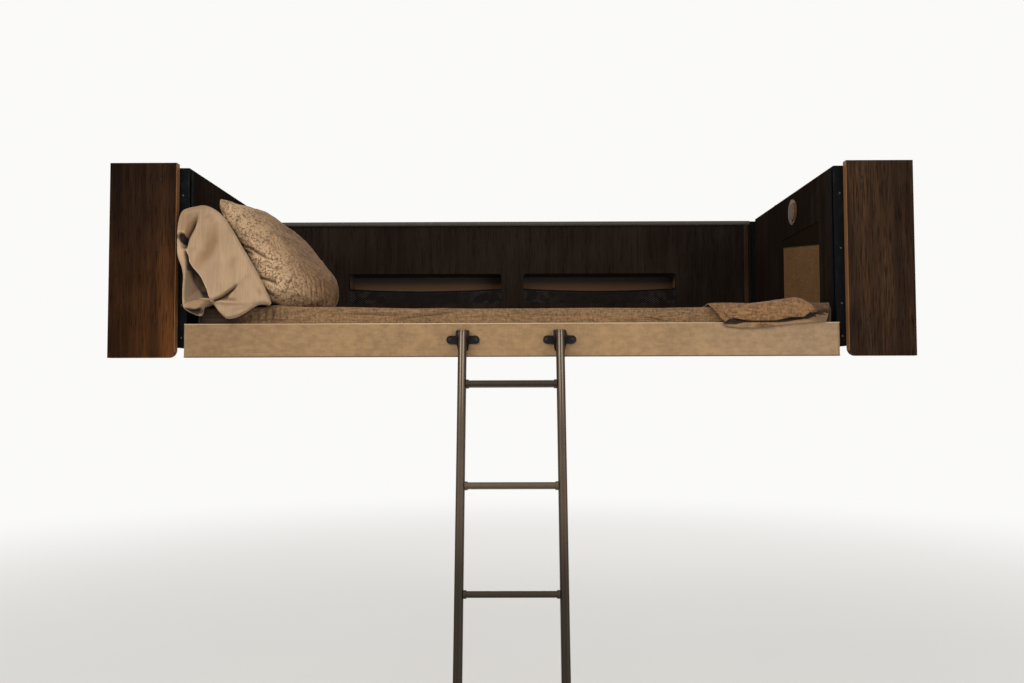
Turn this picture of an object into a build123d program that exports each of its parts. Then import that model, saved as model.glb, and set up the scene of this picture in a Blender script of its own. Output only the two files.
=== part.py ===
from build123d import *
from math import cos, radians, sin
import os

# Over-cab drop-down bunk of a motorhome, with its hooked-on ladder, in its lowered place.
# Millimetres. X runs to the right across the vehicle, Y forwards and Z up.
# The origin is the centre of the front board's top edge, where it meets the ceiling.

os.makedirs("parts", exist_ok=True)

# Alcove
overall_width = 2440
board_drop = 594
alcove_depth = 1054
board_gap = 28
board_thickness = 25
board_corner = 24
front_board_thickness = 18
front_board_lap = 40
panel_thickness = 18

# Pockets in the front board
pocket_width = 635
pocket_height = 123
pocket_stile = 92
pocket_drop = 217
pocket_corner = 12
pocket_depth = 110
pocket_wall = 4
net_thickness = 2
net_height = 61
net_sag = 11
net_setback = 3

# Trims, inset panels and speakers
ceiling_trim_height = 18
ceiling_trim_depth = 12
corner_trim_width = 18
corner_trim_depth = 6
corner_trim_gap = 5
inset_start = 217
inset_length = 402
inset_drop = 148
inset_thickness = 6
inset_setback = 2
bead_start = 704
bead_width = 6
bead_height = 3
speaker_diameter = 90
speaker_flange = 4
speaker_dome = 3
speaker_grille = 66
speaker_start = 490
speaker_drop = 67

# Lift rails and the pressed brackets that carry them on the walls
rail_depth = 30
rail_width = 42
rail_wall = 3
rail_mouth = 16
rail_end_gap = 10
rail_stop = 4
rail_play = 0.5
bracket_sheet = 3
bracket_flange = 70
bracket_end_gap = 8
wall_bolt_hole = 9
wall_bolt_pitch = 440

# Platform
fascia_length = 1978
fascia_height = 102
fascia_thickness = 22
fascia_round = 3
top_trim = 2.5
bottom_trim = 3
platform_gap = 15
platform_inset = 6
deck_step = 5
deck_thickness = 12
frame_height = 50
frame_width = 40
cross_width = 30
cross_count = 3
tube_wall = 2
underside_thickness = 4
block_height = 50
block_neck = 15
block_flange = 3
block_flange_width = 26
rail_gap = 2
stop_gap = 0.2

# Bedding
mattress_end_gap = 11
mattress_thickness = 50
mattress_round = 20
mattress_aft_gap = 2
mattress_front_gap = 20
blanket_thickness = 8
blanket_left_gap = 48
blanket_right_gap = 19
hem_gap = 0.5
soft_gap = 0.5
pillow_gap = 4
pillow_end_shares = (1, 0.85, 0.55)
plain_overhang = 12
plain_hang = 42
plain_length = 632
plain_width = 246
plain_height = 304
patterned_offset = 86
patterned_setback = 12
patterned_length = 520
patterned_width = 339
patterned_height = 336
throw_width = 361
throw_end_gap = 23
throw_length = 350
throw_thickness = 30
throw_round = 12
throw_hang = 14
throw_lip = 5

# Ladder and its brackets on the fascia
ladder_lean = 14
ladder_centres = 291
pin_drop = 531
pin_standoff = 30
pin_diameter = 8
pin_head = 12
pin_head_thickness = 2
pin_end_play = 0.5
running_clearance = 0.05
bracket_plate = 5
ear_length = 100
ear_height = 25
ear_drop = 543
cheek_thickness = 5.25
cheek_clearance = 1
cheek_top = 16
cheek_nose = 14
cheek_foot_drop = 576
cheek_taper_drop = 556
cheek_foot_width = 30
floor_drop = 2060
stile_width = 25
stile_depth = 35
stile_corner = 9
stile_wall = 2
flute_width = 3
flute_depth = 1.2
head_length = 60
first_rung = 149.5
rung_pitch = 298
rung_count = 5
rung_height = 18
rung_depth = 30
rung_corner = 7
collar_length = 8
collar_wall = 2.5
boot_wall = 3
boot_height = 50
boot_base = 8

# Planes that several pieces share
front_face = -front_board_thickness / 2
aft_face = front_face - alcove_depth
wall_x = overall_width / 2
fascia_half = fascia_length / 2
board_edge_x = fascia_half + board_gap
rail_mouth_x = fascia_half + rail_gap
rail_back_x = rail_mouth_x + rail_depth
panel_x = rail_back_x - panel_thickness
board_front = aft_face + board_thickness
aft_rail_y = board_front + bracket_sheet + rail_width / 2
front_rail_y = front_face - bracket_sheet - rail_width / 2
platform_half = fascia_half - platform_inset
platform_aft = aft_face + fascia_thickness
platform_front = front_face - platform_gap
fascia_top = -board_drop + fascia_height
deck_top = fascia_top - deck_step
frame_top = deck_top - deck_thickness
frame_bottom = frame_top - frame_height
wall_low = frame_bottom - underside_thickness
block_low = (frame_bottom + frame_top - block_height) / 2
mattress_top = deck_top + mattress_thickness
blanket_top = mattress_top + blanket_thickness
pocket_x = (pocket_stile + pocket_width) / 2
pocket_z = -pocket_drop - pocket_height / 2
pin_y = aft_face - pin_standoff

sides = (("left", -1), ("right", 1))


def save(piece, name):
    piece.part.label = name
    export_step(piece.part, f"parts/{name}.step")


def around(middle, size):
    """The range of a given size about its middle."""
    return middle - size / 2, middle + size / 2


def sided(side, near, far):
    """The X range between two distances from the middle, on one side."""
    return sorted((side * near, side * far))


def area(x_range, y_range, mode=Mode.ADD):
    """A rectangle over two ranges, in the open sketch."""
    with Locations((sum(x_range) / 2, sum(y_range) / 2)):
        Rectangle(x_range[1] - x_range[0], y_range[1] - y_range[0], mode=mode)


def block(x_range, y_range, z_range, mode=Mode.ADD):
    """A rectangular block over three ranges, in the open part."""
    ranges = (x_range, y_range, z_range)
    with Locations(tuple(sum(ends) / 2 for ends in ranges)):
        Box(*[high - low for low, high in ranges], mode=mode)


# Side boards: broad boards that face aft, with the lower inner corner rounded
for label, side in sides:
    with BuildPart() as side_board:
        block(sided(side, board_edge_x, wall_x), (aft_face, board_front), (-board_drop, 0))
        lower_edges = side_board.edges().filter_by(Axis.Y).group_by(Axis.Z)[0]
        fillet(lower_edges.sort_by(Axis.X)[0 if side > 0 else -1], board_corner)
    save(side_board, f"side_board_{label}")

# Side panels: the alcove's end walls, with a linen inset, a raised bead and a round speaker
panel_aft = aft_rail_y + rail_width / 2 + rail_gap
panel_front = front_rail_y - rail_width / 2 - rail_gap
inset_low = aft_face + inset_start
inset_range = (inset_low, inset_low + inset_length)
inset_rise = (deck_top, -inset_drop)
bead_low = aft_face + bead_start

for label, side in sides:
    speaker_plane = Plane(
        origin=(side * panel_x, aft_face + speaker_start, -speaker_drop),
        z_dir=(-side, 0, 0),
    )
    inset_back = panel_x + inset_setback + inset_thickness
    with BuildPart() as side_panel:
        block(sided(side, panel_x, rail_back_x), (panel_aft, panel_front), (wall_low, 0))
        block(sided(side, panel_x, inset_back), inset_range, inset_rise, Mode.SUBTRACT)
        block(
            sided(side, panel_x - bead_height, panel_x),
            (bead_low, bead_low + bead_width),
            (deck_top, 0),
        )
    save(side_panel, f"side_panel_{label}")

    with BuildPart() as inset_panel:
        block(sided(side, panel_x + inset_setback, inset_back), inset_range, inset_rise)
    save(inset_panel, f"inset_panel_{label}")

    with BuildPart() as speaker:
        with BuildSketch(speaker_plane):
            Circle(speaker_diameter / 2)
        extrude(amount=speaker_flange)
        with BuildSketch(speaker_plane.offset(speaker_flange)):
            Circle(speaker_grille / 2)
        extrude(amount=speaker_dome)
    save(speaker, f"speaker_{label}")

# Front board: the wall under the windscreen cap, with two pocket openings
front_half = rail_back_x + front_board_lap
pocket_places = [(side * pocket_x, pocket_z) for label, side in sides]
with BuildPart() as front_board:
    with BuildSketch(Plane.XZ.offset(-front_face)):
        area((-front_half, front_half), (wall_low, 0))
        with Locations(*pocket_places):
            RectangleRounded(pocket_width, pocket_height, pocket_corner, mode=Mode.SUBTRACT)
    extrude(amount=-front_board_thickness)
save(front_board, "front_board")

# Pocket trays behind the openings, and the nets that close their lower part
net_low = pocket_z - pocket_height / 2
net_high = net_low + net_height
for label, side in sides:
    middle = side * pocket_x
    with BuildPart() as pocket_tray:
        with BuildSketch(Plane.XZ.offset(front_face)):
            with Locations((middle, pocket_z)):
                RectangleRounded(
                    pocket_width + 2 * pocket_wall,
                    pocket_height + 2 * pocket_wall,
                    pocket_corner + pocket_wall,
                )
        extrude(amount=-pocket_depth)
        with BuildSketch(Plane.XZ.offset(front_face)):
            with Locations((middle, pocket_z)):
                RectangleRounded(pocket_width, pocket_height, pocket_corner)
        extrude(amount=pocket_wall - pocket_depth, mode=Mode.SUBTRACT)
    save(pocket_tray, f"pocket_tray_{label}")

    left_end, right_end = around(middle, pocket_width)
    corner_left = left_end + pocket_corner
    corner_right = right_end - pocket_corner
    corner_high = net_low + pocket_corner
    with BuildPart() as pocket_net:
        with BuildSketch(Plane.XZ.offset(-front_face - net_setback)):
            with BuildLine():
                Line((left_end, net_high), (left_end, corner_high))
                RadiusArc((left_end, corner_high), (corner_left, net_low), -pocket_corner)
                Line((corner_left, net_low), (corner_right, net_low))
                RadiusArc((corner_right, net_low), (right_end, corner_high), -pocket_corner)
                Line((right_end, corner_high), (right_end, net_high))
                ThreePointArc((right_end, net_high), (middle, net_high - net_sag), (left_end, net_high))
            make_face()
        extrude(amount=-net_thickness)
    save(pocket_net, f"pocket_net_{label}")

# Trims of the front wall
trim_half = rail_mouth_x - rail_gap
with BuildPart() as ceiling_trim:
    block(
        (-trim_half, trim_half),
        (front_face - ceiling_trim_depth, front_face),
        (-ceiling_trim_height, 0),
    )
    lower_edges = ceiling_trim.edges().filter_by(Axis.X).group_by(Axis.Z)[0]
    fillet(lower_edges.sort_by(Axis.Y)[0], ceiling_trim_depth * 0.8)
save(ceiling_trim, "ceiling_trim")

for label, side in sides:
    outer = trim_half - corner_trim_gap
    with BuildPart() as corner_trim:
        block(
            sided(side, outer - corner_trim_width, outer),
            (front_face - corner_trim_depth, front_face),
            (deck_top, -ceiling_trim_height),
        )
        fillet(corner_trim.edges().filter_by(Axis.Z).group_by(Axis.Y)[0], corner_trim_depth / 3)
    save(corner_trim, f"corner_trim_{label}")

# Lift rails: lipped channels, open towards the bunk and closed at the foot by a stop for the
# guide block, on pressed brackets that reach the walls
rail_places = (("aft", aft_rail_y, 1), ("front", front_rail_y, -1))
stop_high = block_low - stop_gap
rail_low = stop_high - rail_stop
rail_high = -rail_end_gap
sheet_low = wall_low + bracket_end_gap
sheet_high = -bracket_end_gap
channel_mouth_x = rail_mouth_x + rail_wall
channel_back_x = rail_back_x - rail_wall

for place, rail_y, inward in rail_places:
    for label, side in sides:
        with BuildPart() as lift_rail:
            with BuildSketch(Plane.XY.offset(rail_low)):
                area(sided(side, rail_mouth_x, rail_back_x), around(rail_y, rail_width))
                area(
                    sided(side, channel_mouth_x, channel_back_x),
                    around(rail_y, rail_width - 2 * rail_wall),
                    Mode.SUBTRACT,
                )
                area(
                    sided(side, rail_mouth_x, channel_mouth_x),
                    around(rail_y, rail_mouth),
                    Mode.SUBTRACT,
                )
            extrude(amount=rail_high - rail_low)
            block(
                sided(side, channel_mouth_x, channel_back_x),
                around(rail_y, rail_width - 2 * rail_wall),
                (rail_low, stop_high),
            )
        save(lift_rail, f"lift_rail_{place}_{label}")

        web_face = rail_y - inward * rail_width / 2
        web_back = web_face - inward * bracket_sheet
        flange_range = sorted((web_back, web_back + inward * bracket_flange))
        bolt_plane = Plane(
            origin=(side * wall_x, sum(flange_range) / 2, wall_low / 2),
            x_dir=(0, 1, 0),
            z_dir=(side, 0, 0),
        )
        with BuildPart() as wall_bracket:
            with BuildSketch(Plane.XY.offset(sheet_low)):
                area(sided(side, rail_back_x, wall_x), sorted((web_back, web_face)))
                area(sided(side, rail_back_x, rail_back_x + bracket_sheet), flange_range)
                area(sided(side, wall_x - bracket_sheet, wall_x), flange_range)
            extrude(amount=sheet_high - sheet_low)
            with BuildSketch(bolt_plane):
                with GridLocations(0, wall_bolt_pitch, 1, 2):
                    Circle(wall_bolt_hole / 2)
            extrude(amount=-bracket_sheet, mode=Mode.SUBTRACT)
        save(wall_bracket, f"wall_bracket_{place}_{label}")

# Platform: tube frame, deck and underside panel
frame_rise = (frame_bottom, frame_top)
platform_span = (-platform_half, platform_half)
platform_run = (platform_aft, platform_front)
for place, edge_y, inward in (("aft", platform_aft, 1), ("front", platform_front, -1)):
    with BuildPart() as frame_rail:
        with BuildSketch(Plane.YZ.offset(-platform_half)):
            rail_run = sorted((edge_y, edge_y + inward * frame_width))
            area(rail_run, frame_rise)
            offset(amount=-tube_wall, mode=Mode.SUBTRACT)
        extrude(amount=2 * platform_half)
    save(frame_rail, f"frame_rail_{place}")

cross_pitch = (2 * platform_half - cross_width) / (cross_count - 1)
cross_aft = platform_aft + frame_width
cross_front = platform_front - frame_width
for number in range(cross_count):
    middle = (number - (cross_count - 1) / 2) * cross_pitch
    with BuildPart() as cross_member:
        with BuildSketch(Plane.XZ.offset(-cross_aft)):
            area(around(middle, cross_width), frame_rise)
            offset(amount=-tube_wall, mode=Mode.SUBTRACT)
        extrude(amount=cross_aft - cross_front)
    save(cross_member, f"cross_member_{number + 1}")

with BuildPart() as deck:
    block(platform_span, platform_run, (frame_top, deck_top))
save(deck, "deck")

with BuildPart() as underside_panel:
    block(platform_span, platform_run, (wall_low, frame_bottom))
save(underside_panel, "underside_panel")

# Guide blocks: a flange on the frame, a neck through the rail's mouth and a head inside
head_far = channel_back_x - rail_play
for place, rail_y, inward in rail_places:
    for label, side in sides:
        with BuildPart() as guide_block:
            block(
                sided(side, platform_half, platform_half + block_flange),
                around(rail_y, block_flange_width),
                frame_rise,
            )
            with BuildSketch(Plane.XY.offset(block_low)):
                area(sided(side, platform_half + block_flange, head_far), around(rail_y, block_neck))
                area(
                    sided(side, channel_mouth_x + rail_play, head_far),
                    around(rail_y, rail_width - 2 * (rail_wall + rail_play)),
                )
            extrude(amount=block_height)
        save(guide_block, f"guide_block_{place}_{label}")

# Fascia with its edge trims
fascia_span = (-fascia_half, fascia_half)
fascia_run = (aft_face, platform_aft)
with BuildPart() as fascia:
    block(fascia_span, fascia_run, (-board_drop + bottom_trim, fascia_top - top_trim))
    fillet(fascia.edges().filter_by(Axis.Z).group_by(Axis.Y)[0], fascia_round)
save(fascia, "fascia")

with BuildPart() as fascia_top_trim:
    block(fascia_span, fascia_run, (fascia_top - top_trim, fascia_top))
    fillet(fascia_top_trim.edges().filter_by(Axis.X).group_by(Axis.Z)[-1], top_trim * 0.6)
save(fascia_top_trim, "fascia_top_trim")

with BuildPart() as fascia_bottom_trim:
    block(fascia_span, fascia_run, (-board_drop, -board_drop + bottom_trim))
save(fascia_bottom_trim, "fascia_bottom_trim")

# Bedding: mattress, blanket with its tucked aft side, two pillows and a folded throw
mattress_half = fascia_half - mattress_end_gap
mattress_aft = platform_aft + mattress_aft_gap
mattress_run = (mattress_aft, platform_front - mattress_front_gap)
with BuildPart() as mattress:
    block((-mattress_half, mattress_half), mattress_run, (deck_top, mattress_top))
    fillet(mattress.edges().filter_by(Axis.Z), mattress_round)
save(mattress, "mattress")

blanket_span = (blanket_left_gap - fascia_half, fascia_half - blanket_right_gap)
blanket_aft = mattress_aft - blanket_thickness
with BuildPart() as blanket:
    block(blanket_span, (blanket_aft, mattress_run[1]), (mattress_top, blanket_top))
    block(blanket_span, (blanket_aft, mattress_aft), (fascia_top + hem_gap, mattress_top))
    upper_edges = blanket.edges().filter_by(Axis.X).group_by(Axis.Z)[-1]
    fillet(upper_edges.sort_by(Axis.Y)[0], blanket_thickness * 0.8)
save(blanket, "blanket")

# Pillows that lean on the end wall. Each has an outline in shares of its width (X) and height (Z),
# and gets narrower and lower towards the front board. The plain one stands out over the fascia,
# where the open end of its case hangs down past the blanket
plain_shares = ((0, 0), (0, 0.78), (0.1, 1), (0.35, 1), (1, 0))
patterned_shares = (
    (0.49, 0),
    (0.09, 0.81),
    (0, 1),
    (0.3, 0.96),
    (0.67, 0.74),
    (0.95, 0.35),
    (1, 0.2),
    (1, 0),
)
plain_left = pillow_gap - fascia_half
patterned_left = plain_left + patterned_offset
plain_size = (plain_width, plain_length, plain_height)
patterned_size = (patterned_width, patterned_length, patterned_height)
pillows = (
    ("pillow_plain", plain_left, -plain_overhang, plain_hang, plain_size, plain_shares),
    ("pillow_patterned", patterned_left, patterned_setback, 0, patterned_size, patterned_shares),
)
pillow_bottom = blanket_top + soft_gap
for name, left, setback, hang, (width, length, height), shares in pillows:
    start = aft_face + setback
    pitch = length / (len(pillow_end_shares) - 1)
    taper = [(start + number * pitch, share) for number, share in enumerate(pillow_end_shares)]
    outline = [(left + across * width, pillow_bottom + up * height) for across, up in shares]
    plan = [(left + share * width, along) for along, share in taper]
    profile = [(along, pillow_bottom + share * height) for along, share in taper]
    with BuildPart() as pillow:
        with BuildSketch(Plane.XZ.offset(-start)):
            with BuildLine():
                Polyline(outline, close=True)
            make_face()
        extrude(amount=-length)
        with BuildSketch(Plane.XY.offset(pillow_bottom)):
            with BuildLine():
                Polyline((left, start), *plan, (left, start + length), close=True)
            make_face()
        extrude(amount=height, mode=Mode.INTERSECT)
        with BuildSketch(Plane.YZ.offset(left)):
            with BuildLine():
                Polyline((start, pillow_bottom), *profile, (start + length, pillow_bottom), close=True)
            make_face()
        extrude(amount=width, mode=Mode.INTERSECT)
        if hang:
            case_run = (start, blanket_aft - soft_gap)
            block((left, left + width), case_run, (pillow_bottom - hang, pillow_bottom))
    save(pillow, name)

# The throw is folded on the blanket, and its lowest layer goes down the blanket's side and over
# the fascia
throw_right = fascia_half - throw_end_gap
throw_span = (throw_right - throw_width, throw_right)
throw_low = blanket_top + soft_gap
throw_high = throw_low + throw_thickness
throw_side = blanket_aft - soft_gap
throw_face = aft_face - soft_gap
throw_aft = throw_face - throw_lip
with BuildPart() as folded_throw:
    block(throw_span, (throw_side, throw_aft + throw_length), (throw_low, throw_high))
    block(throw_span, (throw_aft, throw_side), (fascia_top + soft_gap, throw_high))
    block(throw_span, (throw_aft, throw_face), (fascia_top - throw_hang, fascia_top + soft_gap))
    upper_edges = folded_throw.edges().filter_by(Axis.X).group_by(Axis.Z)[-1]
    fillet(upper_edges.sort_by(Axis.Y)[0], throw_round)
save(folded_throw, "folded_throw")

# Ladder brackets: ears on the fascia and two cheeks whose open slots hold the hook pins
channel_half = stile_width / 2 + cheek_clearance
body_half = channel_half + cheek_thickness
body_top = cheek_top - pin_drop
nose_y = pin_y - cheek_nose
nose_low = (pin_y - cheek_nose * 0.6, -pin_drop - cheek_nose)
slot_radius = pin_diameter / 2 + running_clearance
pin_half = body_half + pin_end_play

for label, side in sides:
    middle = side * ladder_centres / 2
    across = Plane.YZ.offset(middle - body_half)
    with BuildPart() as ladder_bracket:
        with BuildSketch(Plane.XZ.offset(-aft_face)):
            with BuildLine():
                Polyline(
                    (middle - body_half, body_top),
                    (middle + body_half, body_top),
                    (middle + body_half, -cheek_taper_drop),
                    (middle + cheek_foot_width / 2, -cheek_foot_drop),
                    (middle - cheek_foot_width / 2, -cheek_foot_drop),
                    (middle - body_half, -cheek_taper_drop),
                    close=True,
                )
            make_face()
        extrude(amount=pin_standoff + cheek_nose)
        with BuildSketch(across):
            with BuildLine():
                Line((aft_face, body_top), (pin_y, body_top))
                ThreePointArc((pin_y, body_top), (nose_y, -pin_drop), nose_low)
                Polyline(
                    nose_low,
                    (aft_face - bracket_plate, -cheek_foot_drop),
                    (aft_face, -cheek_foot_drop),
                    (aft_face, body_top),
                )
            make_face()
        extrude(amount=2 * body_half, mode=Mode.INTERSECT)
        block(
            around(middle, 2 * channel_half),
            (nose_y - cheek_nose, aft_face - bracket_plate),
            (-cheek_foot_drop, body_top),
            Mode.SUBTRACT,
        )
        with BuildSketch(across):
            with Locations((pin_y, -pin_drop)):
                Circle(slot_radius)
            area(around(pin_y, 2 * slot_radius), (-pin_drop, body_top))
        extrude(amount=2 * body_half, mode=Mode.SUBTRACT)
        with BuildSketch(Plane.XZ.offset(-aft_face)):
            with Locations((middle, -ear_drop)):
                SlotOverall(ear_length, ear_height)
        extrude(amount=bracket_plate)
    save(ladder_bracket, f"ladder_bracket_{label}")

    with BuildPart() as hook_pin:
        with BuildSketch(Plane.YZ.offset(middle - pin_half)):
            with Locations((pin_y, -pin_drop)):
                Circle(pin_diameter / 2)
        extrude(amount=2 * pin_half)
        with BuildSketch(Plane.YZ.offset(middle + side * pin_half)):
            with Locations((pin_y, -pin_drop)):
                Circle(pin_head / 2)
        extrude(amount=side * pin_head_thickness)
    save(hook_pin, f"hook_pin_{label}")

# Ladder: its plane starts at the pins, with the normal running down the stiles
lean = radians(ladder_lean)
ladder_plane = Plane(
    origin=(0, pin_y, -pin_drop),
    x_dir=(1, 0, 0),
    z_dir=(0, -sin(lean), -cos(lean)),
)
ladder_length = (floor_drop - pin_drop) / cos(lean)
stile_end = ladder_length - boot_base - stile_depth * sin(lean)
stile_x = ladder_centres / 2


def flutes(middle):
    """Cuts the stile's two flutes, in the open sketch."""
    for face_y in (-stile_depth / 2, stile_depth / 2):
        area(around(middle, flute_width), around(face_y, 2 * flute_depth), Mode.SUBTRACT)


for label, side in sides:
    middle = side * stile_x
    with BuildPart() as ladder_head:
        with BuildSketch(Plane.YZ.offset(middle - stile_width / 2)):
            with Locations((pin_y, -pin_drop)):
                Circle(stile_depth / 2)
        extrude(amount=stile_width)
        with BuildSketch(ladder_plane):
            with Locations((middle, 0)):
                RectangleRounded(stile_width, stile_depth, stile_corner)
            flutes(middle)
        extrude(amount=head_length)
        with BuildSketch(Plane.YZ.offset(middle - stile_width / 2)):
            with Locations((pin_y, -pin_drop)):
                Circle(slot_radius)
        extrude(amount=stile_width, mode=Mode.SUBTRACT)
    save(ladder_head, f"ladder_head_{label}")

    with BuildPart() as ladder_stile:
        with BuildSketch(ladder_plane.offset(head_length)):
            with Locations((middle, 0)):
                RectangleRounded(stile_width, stile_depth, stile_corner)
                offset(amount=-stile_wall, mode=Mode.SUBTRACT)
            flutes(middle)
        extrude(amount=stile_end - head_length)
    save(ladder_stile, f"ladder_stile_{label}")

    with BuildPart() as ladder_foot:
        with BuildSketch(ladder_plane.offset(stile_end - boot_height)):
            with Locations((middle, 0)):
                RectangleRounded(
                    stile_width + 2 * boot_wall,
                    stile_depth + 2 * boot_wall,
                    stile_corner + boot_wall,
                )
        extrude(amount=boot_height + 2 * stile_depth)
        with BuildSketch(ladder_plane.offset(stile_end - boot_height)):
            with Locations((middle, 0)):
                RectangleRounded(stile_width, stile_depth, stile_corner)
        extrude(amount=boot_height, mode=Mode.SUBTRACT)
        split(bisect_by=Plane.XY.offset(-floor_drop), keep=Keep.TOP)
    save(ladder_foot, f"ladder_foot_{label}")

rung_half = stile_x - stile_width / 2
for number in range(rung_count):
    rung_plane = Plane(
        origin=ladder_plane.from_local_coords((0, 0, first_rung + number * rung_pitch)),
        x_dir=ladder_plane.y_dir,
        z_dir=(1, 0, 0),
    )
    with BuildPart() as rung:
        with BuildSketch(rung_plane.offset(-rung_half)):
            RectangleRounded(rung_depth, rung_height, rung_corner)
        extrude(amount=2 * rung_half)
        for end in (-1, 1):
            with BuildSketch(rung_plane.offset(end * rung_half)):
                RectangleRounded(
                    rung_depth + 2 * collar_wall,
                    rung_height + 2 * collar_wall,
                    rung_corner + collar_wall,
                )
            extrude(amount=-end * collar_length)
    save(rung, f"rung_{number + 1}")
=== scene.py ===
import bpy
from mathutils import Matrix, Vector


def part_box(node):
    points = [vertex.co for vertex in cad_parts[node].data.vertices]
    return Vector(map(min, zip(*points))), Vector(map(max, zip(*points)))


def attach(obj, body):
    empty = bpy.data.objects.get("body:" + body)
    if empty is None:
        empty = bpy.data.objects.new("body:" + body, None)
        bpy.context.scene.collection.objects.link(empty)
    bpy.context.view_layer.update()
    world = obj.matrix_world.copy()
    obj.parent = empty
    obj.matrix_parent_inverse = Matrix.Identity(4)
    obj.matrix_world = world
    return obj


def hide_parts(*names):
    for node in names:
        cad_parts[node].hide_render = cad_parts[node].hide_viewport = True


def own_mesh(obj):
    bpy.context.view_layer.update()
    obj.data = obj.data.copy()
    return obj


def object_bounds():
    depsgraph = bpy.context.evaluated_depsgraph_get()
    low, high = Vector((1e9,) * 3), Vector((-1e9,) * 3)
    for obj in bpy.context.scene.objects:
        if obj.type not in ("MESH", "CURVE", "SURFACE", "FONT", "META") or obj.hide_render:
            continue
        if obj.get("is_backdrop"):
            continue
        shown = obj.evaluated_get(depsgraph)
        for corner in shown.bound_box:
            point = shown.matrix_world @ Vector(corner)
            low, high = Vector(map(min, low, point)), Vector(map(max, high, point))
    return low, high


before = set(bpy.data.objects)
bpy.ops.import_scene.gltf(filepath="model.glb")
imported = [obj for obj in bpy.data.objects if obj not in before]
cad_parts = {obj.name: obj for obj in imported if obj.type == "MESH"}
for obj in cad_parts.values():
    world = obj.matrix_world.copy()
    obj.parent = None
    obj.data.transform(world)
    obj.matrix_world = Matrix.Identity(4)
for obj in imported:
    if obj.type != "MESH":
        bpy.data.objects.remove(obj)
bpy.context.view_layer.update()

import math

import bpy
import numpy as np
from mathutils import Matrix, Vector, geometry, noise

bl_info = {
    "name": "Over-Cab Bunk Dresser",
    "version": (1, 0, 0),
    "blender": (4, 5, 0),
    "location": "View3D > Sidebar > Bunk",
    "description": "Dresses an over-cab drop-down bunk and its ladder with bedding, nets, screws and finishes",
    "category": "Object",
}

SIDES = (("left", -1), ("right", 1))

# Distance between the rows of a triangular grid, as a share of its pitch
ROW = 0.866

# How far the pocket nets' upper edges sag
NET_SAG = 0.011

# The air in the pillows, and how many frames their cloth settles for
CLOTH_PRESSURE = 4.0
CLOTH_STEPS = 20


def srgb(red, green, blue):
    """The linear colour of an 8-bit screen colour."""
    shares = [channel / 255 for channel in (red, green, blue)]
    return tuple(s / 12.92 if s <= 0.04045 else ((s + 0.055) / 1.055) ** 2.4 for s in shares)


def colour(name, description, default):
    """A colour that the panel shows."""
    return bpy.props.FloatVectorProperty(
        name=name, description=description, subtype="COLOR", size=3, min=0, max=1, default=default
    )


def size(name, description, default):
    """A length in metres that the panel shows."""
    return bpy.props.FloatProperty(
        name=name, description=description, default=default, min=0, subtype="DISTANCE", unit="LENGTH"
    )


class BunkColours(bpy.types.PropertyGroup):
    walnut: colour("Walnut", "Side boards' veneer", srgb(52, 33, 20))
    walnut_dark: colour("Walnut streaks", "Dark streaks of the side boards' veneer", srgb(26, 16, 11))
    # Walnut darkened as painted shade of the alcove, for the front board and end walls
    shaded_walnut: colour("Inner walnut", "Veneer of the front board and end walls", srgb(44, 36, 31))
    edge_band: colour("Edge band", "Banded edges of the side boards", srgb(142, 101, 67))
    laminate: colour("Fascia laminate", "Linen laminate of the fascia", srgb(157, 127, 92))
    linen: colour("Inset linen", "Linen of the end walls' insets", srgb(121, 92, 63))
    speaker: colour("Speaker", "Moulded speaker covers", srgb(98, 73, 50))
    liner: colour("Pocket liner", "Felt inside the pockets", srgb(126, 99, 76))
    net: colour("Net", "Elastic net of the pockets", srgb(20, 18, 17))
    mattress: colour("Mattress", "Mattress ticking", srgb(38, 40, 52))
    blanket: colour("Blanket", "Woven blanket", srgb(135, 106, 76))
    throw: colour("Throw", "Folded throw", srgb(128, 96, 66))
    plain_case: colour("Plain pillow", "Plain cotton case", srgb(180, 152, 122))
    # Colour painted as shade in the bottoms of the pillows' and the blanket's folds
    fold: colour("Folds", "Shaded bottom of the pillows' and the blanket's folds", srgb(70, 47, 32))
    # Painted warm shade in the plain case's valleys and folds, and a small orange-brown stain near its right foot
    stain_and_shade: colour("Warm shade", "Warmer cloth in the hollows of the plain case", srgb(142, 111, 80))
    # Colour painted as shade inside the plain case's mouth and gap, below its lower lobe, and where the two pillows
    # meet
    lining_shade: colour("Case lining", "Shaded inside of the plain pillow's case", srgb(36, 28, 27))
    motif_case: colour("Patterned pillow", "Ground of the speckled case", srgb(200, 169, 134))
    motif: colour("Motif", "Printed specks of the patterned case", srgb(76, 58, 42))
    bronze: colour("Bronze", "Anodised ladder tube", srgb(84, 71, 58))
    black: colour("Black moulding", "Brackets, rails and ladder feet", srgb(24, 22, 20))
    zinc: colour("Zinc", "Galvanised sheet and screws", srgb(170, 170, 165))
    steel_black: colour("Black steel", "Powder-coated tube frame", srgb(30, 30, 31))
    plywood: colour("Plywood", "Deck plywood", srgb(188, 154, 110))
    underside: colour("Underside", "Vinyl under the bunk", srgb(150, 132, 110))


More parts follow.
